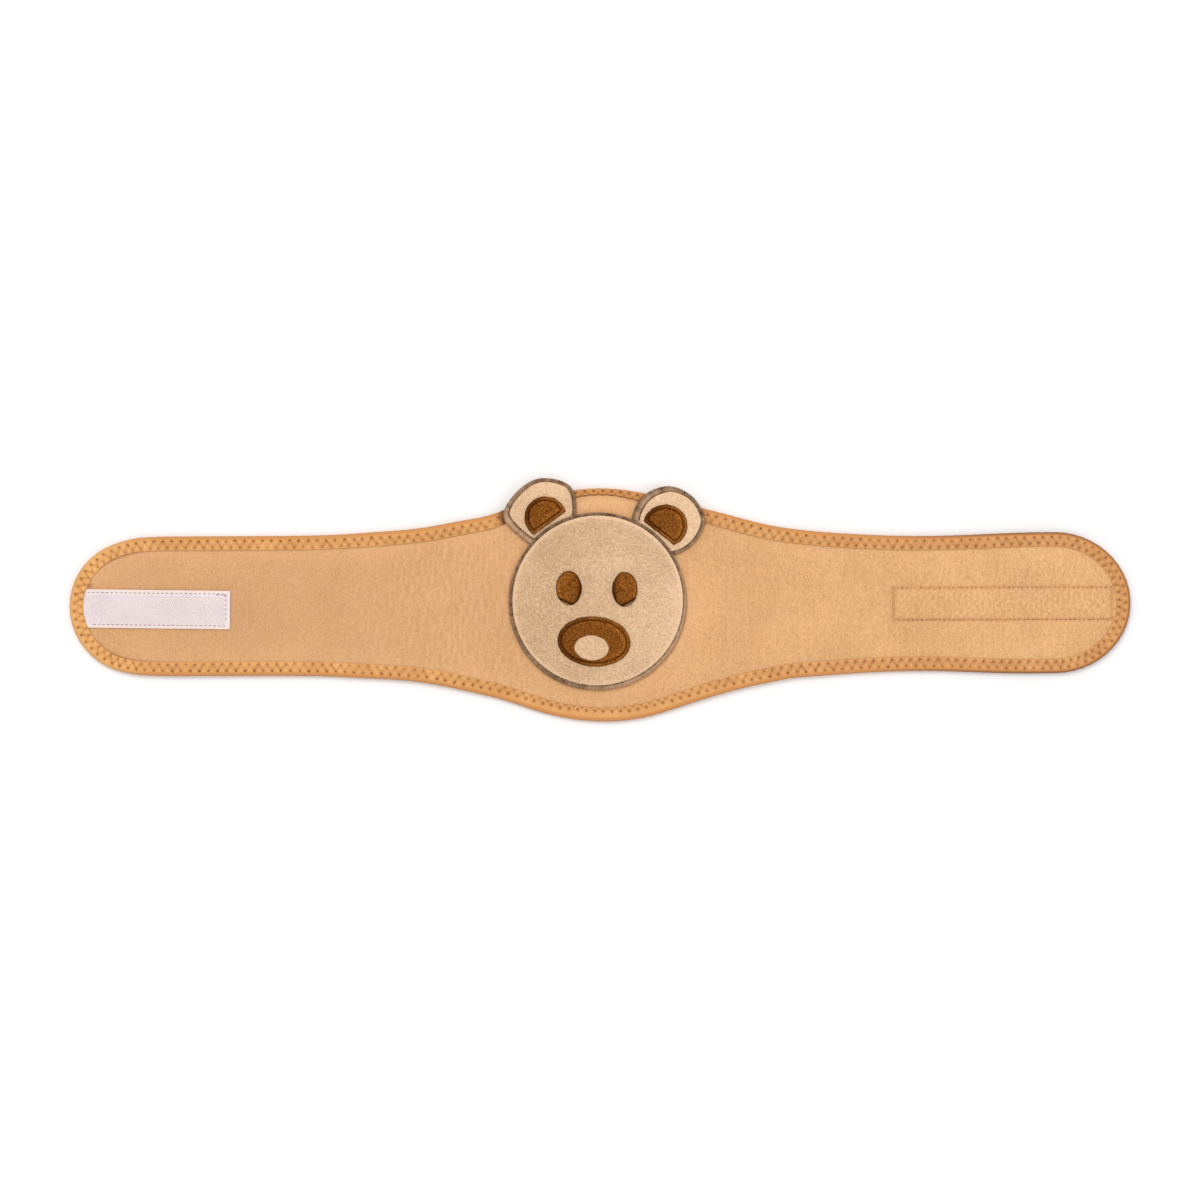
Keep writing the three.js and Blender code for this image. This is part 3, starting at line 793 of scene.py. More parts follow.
class Fabric:
    """A fabric's material: short calls for the nodes that colour it and roughen its surface."""

    def __init__(self, name, roughness, sheen, sheen_tint, gloss=FABRIC_GLOSS):
        self.material = bpy.data.materials.new(name)
        self.material.use_nodes = True
        self.nodes = self.material.node_tree.nodes
        self.links = self.material.node_tree.links
        self.shader = self.nodes["Principled BSDF"]
        set_values(self.shader, {
            "Roughness": roughness, "Specular IOR Level": gloss, "Sheen Weight": sheen,
            "Sheen Roughness": SHEEN_ROUGHNESS, "Sheen Tint": (*sheen_tint, 1),
        })
        self.place = self.nodes.new("ShaderNodeTexCoord").outputs["Object"]

    def node(self, kind, inputs, **settings):
        """A node, whose inputs are plain values or other nodes' outputs."""
        node = self.nodes.new("ShaderNode" + kind)
        for key, value in settings.items():
            setattr(node, key, value)
        for key, value in inputs.items():
            if isinstance(value, bpy.types.NodeSocket):
                self.links.new(value, node.inputs[key])
            else:
                node.inputs[key].default_value = value
        return node

    def noise(self, size, detail, stretch=(1, 1, 1)):
        """Noise with features of about a size in millimetres, longer along an axis with a stretch over 1."""
        factors = [1 / (size * MM * factor) for factor in stretch]
        scaled = self.node("VectorMath", {0: self.place, 1: factors}, operation="MULTIPLY").outputs[0]
        return self.node("TexNoise", {"Vector": scaled, "Scale": 1, "Detail": detail}).outputs["Fac"]

    def stored(self, key):
        """A value that the mesh stores at its points."""
        return self.node("Attribute", {}, attribute_name=key).outputs["Fac"]

    def spread(self, value, low, high):
        """A value stretched so that low becomes 0 and high becomes 1."""
        return self.node("MapRange", {"Value": value, "From Min": low, "From Max": high}).outputs["Result"]

    def along_belt(self, left, right):
        """0 at one place along the belt and 1 at another, in millimetres."""
        return self.spread(self.node("SeparateXYZ", {0: self.place}).outputs["X"], left * MM, right * MM)

    def sum(self, *weighted):
        """Values added up, each with its weight."""
        total = 0
        for value, weight in weighted:
            total = self.node("Math", {0: value, 1: weight, 2: total}, operation="MULTIPLY_ADD").outputs[0]
        return total

    def blend(self, share, *colours):
        """A colour between two, each of them three numbers or another node's colour."""
        colours = [(*colour, 1) if isinstance(colour, tuple) else colour for colour in colours]
        inputs = {"Factor": share, **dict(zip(MIX_COLOURS, colours))}
        return self.node("Mix", inputs, data_type="RGBA").outputs[MIX_RESULT]

    def colour(self, value):
        self.links.new(value, self.shader.inputs["Base Color"])

    def bump(self, height, depth):
        """Roughens the surface by a height between 0 and 1, of a depth in millimetres."""
        node = self.node("Bump", {"Height": height, "Strength": 1, "Distance": depth * MM})
        self.links.new(node.outputs[0], self.shader.inputs["Normal"])


def knit_material():
    cloth = Fabric("brushed_knit", 0.95, 0.25, (1.0, 0.86, 0.7))
    clouds = cloth.noise(34, 3)
    nap = cloth.noise(0.95, 3, (1, 1.3, 1))
    fluff = cloth.noise(0.4, 3, (1, 1.4, 1))
    tone = cloth.stored("tone")
    ribs = cloth.noise(1.3, 2, (1, 9, 1))
    grain = cloth.sum((clouds, 0.2), (nap, 0.46), (ribs, 0.12), (fluff, 0.17), (tone, 0.2))
    mottle = cloth.spread(grain, 0.447, 0.703)
    left = cloth.blend(mottle, (0.585, 0.312, 0.142), (0.765, 0.430, 0.210))
    right = cloth.blend(mottle, (0.62, 0.345, 0.146), (0.93, 0.545, 0.258))
    ground = cloth.blend(cloth.along_belt(-150, 220), left, right)
    faded = cloth.spread(cloth.noise(26, 2), 0.58, 0.72)
    ground = cloth.blend(cloth.sum((faded, 0.15)), ground, (0.62, 0.390, 0.270))
    cloth.colour(cloth.blend(cloth.stored("shade"), ground, (0.36, 0.15, 0.05)))
    cloth.bump(cloth.sum((nap, 0.6), (fluff, 0.4)), 0.4)
    return cloth.material


def binding_material():
    cloth = Fabric("binding_knit", 0.9, 0.2, (1.0, 0.8, 0.6))
    clouds = cloth.noise(14, 3)
    yarn = cloth.noise(0.7, 3)
    mottle = cloth.spread(cloth.sum((clouds, 0.5), (yarn, 0.5)), 0.35, 0.68)
    tip = cloth.blend(mottle, (0.73, 0.360, 0.118), (0.90, 0.475, 0.172))
    left = cloth.blend(mottle, (0.66, 0.315, 0.103), (0.86, 0.455, 0.170))
    right = cloth.blend(mottle, (0.62, 0.290, 0.103), (0.80, 0.412, 0.163))
    ground = cloth.blend(cloth.along_belt(-120, 200), left, right)
    ground = cloth.blend(cloth.along_belt(-215, -262), ground, tip)
    # The fold: partly its own redder colour and partly painted shade
    ground = cloth.blend(cloth.stored("fold"), ground, (0.69, 0.303, 0.099))
    cloth.colour(cloth.blend(cloth.stored("shade"), ground, (0.22, 0.080, 0.024)))
    cloth.bump(yarn, 0.25)
    return cloth.material


def thread_material(name, dark, light, roughness=0.7, sheen=0.15, gloss=FABRIC_GLOSS):
    thread = Fabric(name, roughness, sheen, (1.0, 0.9, 0.8), gloss)
    fibre = thread.noise(0.35, 2)
    tone = thread.spread(thread.sum((thread.stored("tone"), 0.7), (fibre, 0.5)), 0.2, 0.95)
    thread.colour(thread.blend(tone, dark, light))
    thread.bump(fibre, 0.08)
    return thread.material


def tape_material(name, plain, field):
    """A woven tape, with a dark and a light colour for its plain edges and its field, where shade is 1."""
    tape = Fabric(name, 0.65, 0.1, (1, 1, 1))
    weave = tape.noise(0.6, 2, (0.6, 3, 1))
    clouds = tape.noise(9, 2)
    tone = tape.spread(tape.sum((weave, 0.6), (clouds, 0.4)), 0.32, 0.68)
    plain, field = (tape.blend(tone, *colours) for colours in (plain, field))
    tape.colour(tape.blend(tape.stored("shade"), plain, field))
    tape.bump(weave, 0.18)
    return tape.material


def plush_material(name, left_colours, right_colours):
    """Short pile, between a dark and a light colour at each side of the bear."""
    plush = Fabric(name, 1.0, 0.35, (1.0, 0.92, 0.82))
    clouds = plush.noise(24, 3)
    pile = plush.noise(0.9, 4)
    fluff = plush.noise(0.35, 2)
    speckle = plush.sum((clouds, 0.2), (pile, 0.5), (fluff, 0.25), (plush.stored("tone"), 0.3))
    tone = plush.spread(speckle, 0.55, 0.71)
    left, right = (plush.blend(tone, *colours) for colours in (left_colours, right_colours))
    plush.colour(plush.blend(plush.along_belt(-50, 50), left, right))
    plush.bump(plush.sum((pile, 0.7), (fluff, 0.3)), 0.35)
    return plush.material


def felt_material(name, dark, light, deep, lip_shadow_colour):
    """Matted felt. The mesh's shade darkens it, and the painted lip shadow turns it to the shadow colour."""
    felt = Fabric(name, 1.0, 0.05, (1.0, 0.7, 0.4), 0)
    matted = felt.noise(0.85, 4)
    fibre = felt.noise(0.4, 3, (1, 2.4, 1))
    tone = felt.spread(felt.sum((matted, 0.65), (fibre, 0.35)), 0.405, 0.595)
    # the painted shadow on an eye's lip
    ground = felt.blend(felt.stored("wear"), felt.blend(tone, dark, light), lip_shadow_colour)
    felt.colour(felt.blend(felt.stored("shade"), ground, deep))
    felt.bump(felt.sum((matted, 0.6), (fibre, 0.4)), 0.28)
    return felt.material


KNIT = knit_material()
BINDING = binding_material()
ZIGZAG = thread_material("zigzag_thread", (0.62, 0.30, 0.10), (0.84, 0.46, 0.18))
SEAM = thread_material("seam_thread", (0.30, 0.13, 0.045), (0.48, 0.23, 0.09))
TAPE_SEAM = thread_material("tape_thread", (0.28, 0.21, 0.20), (0.50, 0.41, 0.39))
HOOK = tape_material(
    "hook_tape", ((0.80, 0.655, 0.60), (0.92, 0.785, 0.735)), ((0.78, 0.675, 0.68), (0.90, 0.795, 0.80)),
)
LOOP = tape_material(
    "loop_tape", ((0.62, 0.33, 0.15), (0.80, 0.49, 0.25)), ((0.56, 0.295, 0.13), (0.64, 0.345, 0.15)),
)
HOOKS = thread_material("hook_monofilament", (0.80, 0.70, 0.71), (0.96, 0.87, 0.88), 0.4)
LOOPS = thread_material("loop_pile", (0.62, 0.35, 0.17), (0.84, 0.54, 0.29), 0.6)
PLUSH = plush_material(
    "plush", ((0.51, 0.318, 0.177), (0.77, 0.514, 0.308)), ((0.58, 0.378, 0.219), (0.86, 0.598, 0.375)),
)
EAR_PLUSH = plush_material(
    "ear_plush", ((0.60, 0.392, 0.230), (0.85, 0.580, 0.355)), ((0.69, 0.468, 0.288), (0.96, 0.672, 0.422)),
)
EDGING = thread_material("edging_thread", (0.085, 0.038, 0.015), (0.58, 0.370, 0.220), 0.85, 0.0)
BROWN = felt_material(
    "brown_felt", (0.15, 0.042, 0.005), (0.45, 0.156, 0.026), (0.045, 0.013, 0.002), (0.34, 0.185, 0.085),
)
CREAM = felt_material(
    "cream_felt", (0.57, 0.365, 0.213), (0.78, 0.535, 0.332), (0.34, 0.20, 0.10), (0.60, 0.40, 0.25),
)
FELT_SEWING = thread_material("felt_thread", (0.05, 0.015, 0.0015), (0.12, 0.038, 0.004), 0.9, 0.0, 0)


# Swelling

swells = {}


def swell(layer, points):
    """How far a padded layer has swollen at plan points, once it has been simulated."""
    if layer not in swells:
        return np.zeros(len(points))
    low, field = swells[layer]
    place = np.clip((points - low) / SKINS[layer]["step"], 0, np.array(field.shape) - LAST_CELL)
    x, y = place.astype(int).T
    across, up = (place % 1).T
    near = field[x, y] * (1 - across) + field[x + 1, y] * across
    far = field[x, y + 1] * (1 - across) + field[x + 1, y + 1] * across
    return near * (1 - up) + far * up


def skin_object(plan, level, inside, held):
    """The skin's mesh, of the grid's points that lie inside, with a group of those that are held."""
    numbers = np.full(inside.shape, -1)
    numbers[inside] = np.arange(inside.sum())
    points = np.dstack([plan, level])[inside] * SKIN_SCALE
    faces = joined([numbers[:-1, :-1], numbers[1:, :-1], numbers[1:, 1:], numbers[:-1, 1:]])
    mesh = bpy.data.meshes.new("skin")
    mesh.from_pydata(points.tolist(), [], faces[(faces >= 0).all(axis=1)].tolist())
    skin = add_object("skin", mesh)
    skin.vertex_groups.new(name="held").add(numbers[held & inside].tolist(), 1, "REPLACE")
    return skin


def simulate(layer, centre, half, skin_at):
    """Fills a layer by Blender's cloth and keeps how far it rose.

    The skin is a square grid on both sides of a centre. skin_at() gives its levels, which points lie in it
    and which are sewn down. Those and the skin's edge are held.
    """
    values = SKINS[layer]
    step = values["step"]
    across, up = (step * np.arange(-round(reach / step), round(reach / step) + 1) for reach in half)
    plan = np.stack(np.meshgrid(across, up, indexing="ij"), axis=-1) + centre
    level, inside, sewn = (part.reshape(plan.shape[:2]) for part in skin_at(plan.reshape(-1, 2)))
    middle = inside.copy()
    for axis in (0, 1):
        middle &= np.roll(inside, 1, axis) & np.roll(inside, -1, axis)
    skin = skin_object(plan, level, inside, ~middle | sewn)
    cloth = skin.modifiers.new("filling", "CLOTH")
    cloth.settings.vertex_group_mass = "held"
    cloth.settings.mass = SKIN_MASS
    cloth.settings.shrink_min = -SKIN_SLACK
    cloth.settings.use_pressure = True
    cloth.settings.uniform_pressure_force = values["pressure"]
    cloth.settings.effector_weights.gravity = 0
    cloth.collision_settings.use_collision = False
    scene = bpy.context.scene
    for number in range(1, SKIN_FRAMES + 1):
        scene.frame_set(number)
    filled = skin.evaluated_get(bpy.context.evaluated_depsgraph_get()).data
    moved = np.empty(3 * len(filled.vertices), dtype=np.float32)
    filled.vertices.foreach_get("co", moved)
    rise = np.zeros(inside.shape)
    rise[inside] = moved[2::3] / SKIN_SCALE - level[inside]
    swells[layer] = plan[0, 0], values["cap"] * np.tanh(rise / values["cap"])
    mesh = skin.data
    bpy.data.objects.remove(skin)
    bpy.data.meshes.remove(mesh)
    scene.frame_set(1)


def panel_skin(points):
    depth, nearest = from_edge(points)
    seam = np.abs(seam_distance(points)) < SKINS["panel"]["step"] / 2
    sewn = seam | (tape_distance(points) < 0) | (head_distance(points) < -SKIN_UNDER_HEAD)
    return np.zeros(len(points)), depth > face_rim[nearest] - SKIN_UNDER_BINDING, sewn


def head_skin(points):
    inside = head_distance(points) < HEAD_RIM - HEAD_RADIUS
    return head_face(points), inside, np.zeros(len(points), dtype=bool)


def ear_skin(points):
    rims = [ear_rim(side) for side in EARS]
    level = ear_face(points, np.minimum(*(distance_to(rim, points) for rim in rims)))
    return level, within(rims[0], points) | within(rims[1], points), np.zeros(len(points), dtype=bool)


def swell_pads():
    simulate("panel", (0, AXIS), (HALF_LENGTH, BELLY_HALF_WIDTH), panel_skin)
    simulate("head", HEAD_MIDDLE, (HEAD_RADIUS, HEAD_RADIUS), head_skin)
    rims = np.vstack([ear_rim(side) for side in EARS])
    low, high = rims.min(axis=0), rims.max(axis=0)
    simulate("ears", (low + high) / 2, (high - low) / 2 + SKINS["ears"]["step"], ear_skin)


# Panel

def seam_distance(points):
    """Distance outside the sewn rectangle, less than 0 within it."""
    beyond = np.maximum(SEAM_BOX["left"] - points[:, 0], points[:, 0] - SEAM_BOX["right"])
    beside = np.abs(points[:, 1] - AXIS) - SEAM_BOX["half"]
    outside = np.hypot(np.maximum(beyond, 0), np.maximum(beside, 0))
    return outside + np.minimum(np.maximum(beyond, beside), 0)


def tape_points(along, across):
    """Plan points from distances along the hook tape from its free end, and across it from its middle."""
    local = np.stack([-along, across], axis=-1)
    return turned(local, HOOK_TAPE["tilt"]) + (HOOK_TAPE["end"], AXIS + HOOK_TAPE["offset"])


def tape_distance(points):
    """Distance outside the hook tape's edges, less than 0 within them."""
    local = turned(points - (HOOK_TAPE["end"], AXIS + HOOK_TAPE["offset"]), -HOOK_TAPE["tilt"])
    return np.maximum(np.abs(local[:, 1]) - TAPE_HALF_WIDTH, local[:, 0])


def from_middle(points):
    """Distance from the middle of the head."""
    return np.hypot(*(points - HEAD_MIDDLE).T)


def head_distance(points):
    return from_middle(points) - HEAD_RADIUS


def ear_distance(points):
    """Distance to the nearer ear's outline, where that is near."""
    gap = np.full(len(points), EAR_FAR)
    near = head_distance(points) < EAR_FAR
    for side in EARS:
        gap[near] = np.minimum(gap[near], distance_to(ear_line(side), points[near]))
    return gap


def panel_face(points):
    """Level of the panel's face, and its shade and its tone with painted highlights."""
    x, y = points.T
    depth, nearest = from_edge(points)
    bare = depth - face_rim[nearest]
    open_share = ramp(bare, *PANEL_SLOPE)
    outside = seam_distance(points)
    within_seam = ramp(-outside, *SEAM_FIELD)
    groove = bell(outside, SEAM_SPREAD)
    beside_tape = tape_distance(points)
    from_head = head_distance(points)
    pebbles = ramp(x, *PEBBLES["along"]) * ripple(points, uneven["bump"])
    streaks = mark(x, *STREAKS["along"]) * ripple(points * STREAKS["squeeze"], uneven["bump"])
    rib = 0.5 + 0.5 * np.cos(2 * math.pi * x / RIB_PITCH + RIB_WOBBLE * ripple(points, uneven["wobble"]))

    level = PANEL_SQUEEZED[1] + (PANEL_TOP - PANEL_SQUEEZED[1]) * np.sin(open_share * math.pi / 2)
    level += PANEL_UNEVEN * open_share * ripple(points, uneven["panel"])
    level += np.cos(2 * math.pi * nearest / COLUMNS_PER_ZIGZAG) * fade(np.abs(bare), *ZIGZAG_PINCH)
    level += swell("panel", points)
    level += (PEBBLES["height"] + PEBBLES["seam_height"] * within_seam) * open_share * pebbles
    level += STREAKS["height"] * open_share * streaks
    pucker = 1 + SEAM_PUCKER * np.cos(2 * math.pi * (x - SEAM_BOX["left"]) / STITCH["pitch"])
    level += SEAM_PUFF["height"] * ramp(-outside, *SEAM_PUFF["between"]) - SEAM_DEPTH * groove * pucker
    level += mark(outside, *SEAM_RIDGE)
    level += mark(x - SEAM_BOX["left"], *SEAM_END_RIDGE) * within_seam
    level += mark(beside_tape, *TAPE_RIDGE) * open_share
    covered = np.maximum(ramp(-beside_tape, *PRESSED_TAPE), ramp(-from_head, *PRESSED_HEAD))
    level = level * (1 - covered) + np.minimum(level, PRESSED_LEVEL) * covered
    level += RIB_HEIGHT * (rib - 1) * (1 - SEAM_RIB_LOSS * groove)

    left, right = SEAM_BOX["left"], SEAM_BOX["right"]
    past_end = np.abs(x - (left + right) / 2) - (right - left) / 2
    shade = RIB_SHADE * (1 - rib) + SEAM_SHADE * groove
    shade += rim_line[nearest] * fade(bare, *RIM_SHADE) + fade(beside_tape, *TAPE_SHADE)
    shade += mark(np.hypot(*(points - TAPE_NOTCH).T), *NOTCH_SHADE)
    shade += SEAM_END_SHADE * bell(past_end, SEAM_SPREAD) * (outside < SEAM_SPREAD)
    shade = np.maximum(shade, fade(ear_distance(points), *EAR_SHADE))

    # Tone: painted highlights by the binding's rim, beside the head, between the ears and on bump tops
    rim_highlight = RIM_HIGHLIGHTS["left"] + (RIM_HIGHLIGHTS["right"] - RIM_HIGHLIGHTS["left"]) * ramp(x, *RIM_HIGHLIGHTS["between"])
    tone = MID_TONE + fade(bare, rim_highlight, RIM_HIGHLIGHTS["reach"]) + fade(from_head, *PAINTED_LIGHT_BY_HEAD)
    tone += mark(x, *STRIP_HIGHLIGHT["along"]) * ramp(y, *STRIP_HIGHLIGHT["above"])
    tone += (PEBBLES["tone"] + PEBBLES["seam_tone"] * within_seam) * pebbles + STREAKS["tone"] * streaks
    return level, shade, tone


def panel_back(points):
    """Level of the panel's back, which is pressed in over the loop tape."""
    depth, nearest = from_edge(points)
    level = BACK_LEVEL + PANEL_SQUEEZED[0] * (1 - ramp(depth - back_rim[nearest], *PANEL_SLOPE))
    beyond = LOOP_TAPE["start"] - points[:, 0]
    beside = np.abs(points[:, 1] - AXIS) - TAPE_HALF_WIDTH
    pocket = ramp(-np.maximum(beyond, beside), *LOOP_POCKET["between"])
    return np.maximum(level, (LOOP_TAPE_TOP + LOOP_POCKET["gap"]) * pocket)


def panel_plan():
    """Plan points of the panel, in columns that suit its ribs and rows that suit its seams."""
    inset = PANEL_INSET - PANEL_REACH * bell(edge_x, ROLLED.spread)
    inner = edge + edge_normal * inset[:, None]
    sides = [inner[edge_above], inner[~edge_above]]
    sides = [side[np.argsort(side[:, 0])] for side in sides]
    reach = HALF_LENGTH - PANEL_INSET - TIP_TRIM
    columns = COLUMNS_PER_BACK * round(2 * reach / RIB_PITCH * COLUMNS_PER_RIB / COLUMNS_PER_BACK) + 1
    x = np.linspace(-reach, reach, columns)
    half = np.minimum(*(np.interp(x, side[:, 0], np.abs(side[:, 1] - AXIS)) for side in sides))
    squeeze = np.minimum(1, half / (INNER_ROWS[-1] + PANEL_INSET))
    inner_rows = np.array(INNER_ROWS)[None, :] * squeeze[:, None]
    last = inner_rows[:, -1:]
    outer_rows = last + np.array(OUTER_SHARES)[None, :] * (half[:, None] - last)
    upper_rows = np.hstack([inner_rows, outer_rows])
    across = np.hstack([-upper_rows[:, :0:-1], upper_rows])
    return np.dstack([np.repeat(x[:, None], across.shape[1], axis=1), across + AXIS])


def add_panel():
    plan = panel_plan()
    face, shade, tone = panel_face(plan.reshape(-1, 2))
    back = panel_back(plan[::COLUMNS_PER_BACK].reshape(-1, 2))
    low = back.reshape(-1, plan.shape[1])
    points, faces = slab(plan, face.reshape(plan.shape[:2]), low, COLUMNS_PER_BACK)
    shade = np.concatenate([shade, np.zeros(back.size)])
    tone = np.concatenate([tone, np.full(back.size, MID_TONE)])
    panel = add_piece("panel_cloth", points, faces, KNIT, "panel", shade=shade, tone=tone)
    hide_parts("belt_panel")


def add_panel_nap():
    count = NAPS["panel"]["count"]
    drawn = NAPS["panel"]["drawn"] * count
    plan = rng.uniform(-1, 1, (drawn, 2)) * (HALF_LENGTH, BELLY_HALF_WIDTH) + (0, AXIS)
    depth, nearest = from_edge(plan)
    bare = depth > face_rim[nearest] + NAP_MARGINS["binding"]
    bare &= (tape_distance(plan) > NAP_MARGINS["tape"]) & (head_distance(plan) > NAP_MARGINS["head"])
    plan = plan[bare][:count]
    covered = np.zeros(len(plan), dtype=bool)
    for side in EARS:
        covered |= within(ear_line(side), plan)
    plan = plan[~covered]
    add_nap("panel_nap", plan, panel_face(plan)[0], NAPS["panel"], KNIT, "panel")


# Binding

def zigzag_dip(place, inset, share):
    """How far the zigzag pulls a flap in, and the painted shade of its needle holes and channels."""
    column = column_at(place)
    shows = zigzag_shows[column]
    on_right = ramp(edge_x[column], *RIGHT_ARM)
    at_tip = bell(edge_x[column] + HALF_LENGTH, PALE_HOLES["tip_spread"])
    pale = PALE_HOLES["right_arm"] * on_right + PALE_HOLES["left_tip"] * at_tip
    outer = HOLE_DARKNESS[0] * (1 + HIDDEN_HOLES["darker"] * (1 - shows)) * (1 - pale)
    inner = HOLE_DARKNESS[1] * shows
    hole, dark = 0, 0
    for row, darkness in enumerate((outer, inner)):
        nearest = (2 * np.round(place - row / 2).astype(int) + row) % len(hole_place)
        along = (place - hole_place[nearest] + ZIGZAGS / 2) % ZIGZAGS - ZIGZAGS / 2
        gap = np.hypot(along * ZIGZAG_PITCH, (inset - hole_inset[nearest]) * share)
        here = bell(gap, HOLE_RADIUS * (1 + HIDDEN_HOLES["wider"] * (1 - shows))) * hole_strength[nearest]
        hole = hole + here
        dark = dark + (darkness + EAR_SIDE_HOLES[row] * left_of_ears[column]) * here
    line = np.interp(place, hole_place, hole_inset, period=ZIGZAGS)
    steepness = np.arctan2((ZIGZAG_ROWS[1] - ZIGZAG_ROWS[0]) * share, ZIGZAG_PITCH / 2)
    channel = bell((inset - line) * share * np.cos(steepness), CHANNEL_RADIUS)
    stitch = np.floor(2 * place).astype(int) % len(channel_darkness)
    stroke = STROKE["darkness"] * on_right * (stitch % 2 == 0) * ramp(inset, *STROKE["inner_half"])
    dark = dark + channel * (channel_darkness[stitch] + stroke) * shows
    return HOLE_DEPTH * hole + CHANNEL_DEPTH * channel, dark


def rim_drop(inset):
    """How far the binding's flaps thin out to their rims."""
    return RIM_DROP["depth"] * ramp(inset, *RIM_DROP["between"])


def shoulder(inset):
    """How far the fold has turned down at distances from the edge."""
    return FOLD - np.sqrt(FOLD ** 2 - np.clip(FOLD - inset, 0, FOLD) ** 2)


def add_binding():
    """Rows of points round the fold: the back's flap, the lining, the face's flap and the fold itself."""
    count = len(edge)
    x = edge[:, :1]
    place = (np.arange(count) / COLUMNS_PER_ZIGZAG)[:, None]
    wave = np.cos(2 * math.pi * place)
    face_inset = np.array(FACE_INSETS)
    back_inset = np.array(BACK_INSETS)
    fold_inset = FOLD + FOLD * np.cos(np.radians(np.linspace(*FOLD_TURN, FOLD_POINTS)))
    face_share, back_share = flap_share[:, None], 2 - flap_share[:, None]
    start = np.arccos(face_inset[-1] * face_share / FOLD - 1) + math.radians(FOLD_LEAD)
    turn = start + (math.radians(FOLD_TURN[1]) - start) * np.linspace(0, 1, FOLD_POINTS)

    face_dip, face_dark = zigzag_dip(place, face_inset[None, :], face_share)
    back_dip, back_dark = zigzag_dip(place, back_inset[None, :], back_share)
    levels = np.hstack([
        rim_drop(back_inset) + back_dip, np.tile(LINING_LEVELS, (count, 1)),
        BINDING_TOP - rim_drop(face_inset) - face_dip - shoulder(face_inset * face_share),
        FOLD + FOLD * np.sin(turn),
    ])
    across = np.concatenate([back_inset, LINING_INSETS, face_inset, fold_inset])
    on_back = np.arange(len(across)) < len(back_inset) + len(LINING_INSETS) // 2
    insets = across * np.where(on_back, back_share, face_share)
    insets[:, -FOLD_POINTS:] = FOLD + FOLD * np.cos(turn)
    insets += FOLD_WAVER["depth"] * wave * (across < FOLD_WAVER["inside"])
    insets += RIM_WAVER["depth"] * wave * (across > RIM_WAVER["outside"])
    plan = edge[:, None, :] + edge_normal[:, None, :] * insets[:, :, None]
    points = np.dstack([plan, levels]).reshape(-1, 3)

    on_right = ramp(x, *RIGHT_FOLD_SHADE["along"])
    fold_dark = FOLD_SHADE["least"] + FOLD_SHADE["edge"] * ramp(-fold_inset, *FOLD_SHADE["inside"])
    right_edge = RIGHT_FOLD_SHADE["edge"] * ramp(-fold_inset, *RIGHT_FOLD_SHADE["inside"])
    fold_dark = fold_dark + on_right * (RIGHT_FOLD_SHADE["least"] + right_edge)
    on_rim = (BINDING_WIDTH - face_inset) * face_share < RIM_LINE_WIDTH
    face_dark = face_dark + RIM_LINE_SHADE * rim_line[:, None] * on_rim
    shade = np.hstack([back_dark, np.full((count, len(LINING_INSETS)), LINING_SHADE), face_dark, fold_dark])
    shade += along_edge(ROLLED_SHADE)[:, None]
    gap = ear_distance(points[:, :2]).reshape(shade.shape)
    left_ear = ramp(-x, *LEFT_EAR_SHADE["along"]) * mark(gap, *LEFT_EAR_SHADE["around"])
    shade = np.maximum(shade, np.maximum(fade(gap, *EAR_FOLD_SHADE), left_ear) * ~on_back)
    # The fold's colour, partly its own and partly painted shade, also where the binding is rolled
    fold = ramp(-across, *FOLD_TINT_AND_SHADE["inside"]) * (1 - ramp(-x, *FOLD_TINT_AND_SHADE["left_end"]))
    fold = np.maximum(fold, along_edge(ROLLED_FOLD)[:, None])
    faces = tube_faces(1, count, len(across), True)
    binding = add_piece("binding_tape", points, faces, BINDING, "binding", shade=shade, fold=fold)
    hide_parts("edge_binding")


def add_zigzag():
    """The zigzag's threads: from hole to hole on the face, and the same on the back."""
    here = np.column_stack([hole_place, hole_inset])
    there = np.roll(here, -1, axis=0)
    there[-1, 0] += ZIGZAGS
    share = np.linspace(0, 1, len(STITCH_TAPER))
    track = here[:, None, :] + (there - here)[:, None, :] * share[:, None]
    place, inset = track[:, :, 0], track[:, :, 1]
    flat, depth = on_edge(place.ravel(), inset.ravel())
    flat = flat.reshape(-1, len(share), 2)
    sink = ZIGZAG_SINK["holes"] * (1 - np.sin(math.pi * share) ** STITCH_ROUNDNESS)
    sink = sink + ZIGZAG_SINK["hidden"] * (1 - zigzag_shows[column_at(place)]) + ZIGZAG_SINK["level"]
    level = BINDING_TOP - rim_drop(inset) - sink - shoulder(depth).reshape(inset.shape)
    face = np.dstack([flat, level])
    back = np.dstack([flat, np.maximum(BINDING_TOP - level, ZIGZAG_THREAD)])
    across = np.tile(square_to(flat[:, -1] - flat[:, 0]), (2, 1))
    paths = np.concatenate([face, back])
    radii = ZIGZAG_THREAD * STITCH_TAPER
    add_strands("binding_zigzag", paths, across, radii, STITCH_SIDES, ZIGZAG, "binding")


# Tapes

def belt_points(along, across):
    return np.stack([along, across + AXIS], axis=-1)


def reach_to_binding(start, end, plan_at, across):
    """How far along a tape is clear of the binding, at distances across it."""
    along = np.arange(start, end, TAPE_STEP)
    reach = []
    for offset in across:
        depth, nearest = from_edge(plan_at(along, np.full(len(along), offset)))
        reach.append(along[np.argmax(depth < face_rim[nearest] + TAPE_GAP)])
    return np.array(reach)


def hook_tape_reach(across):
    return reach_to_binding(*HOOK_TAPE_REACH, tape_points, across)


def tape_rows():
    return np.linspace(-TAPE_HALF_WIDTH, TAPE_HALF_WIDTH, TAPE_ROWS)


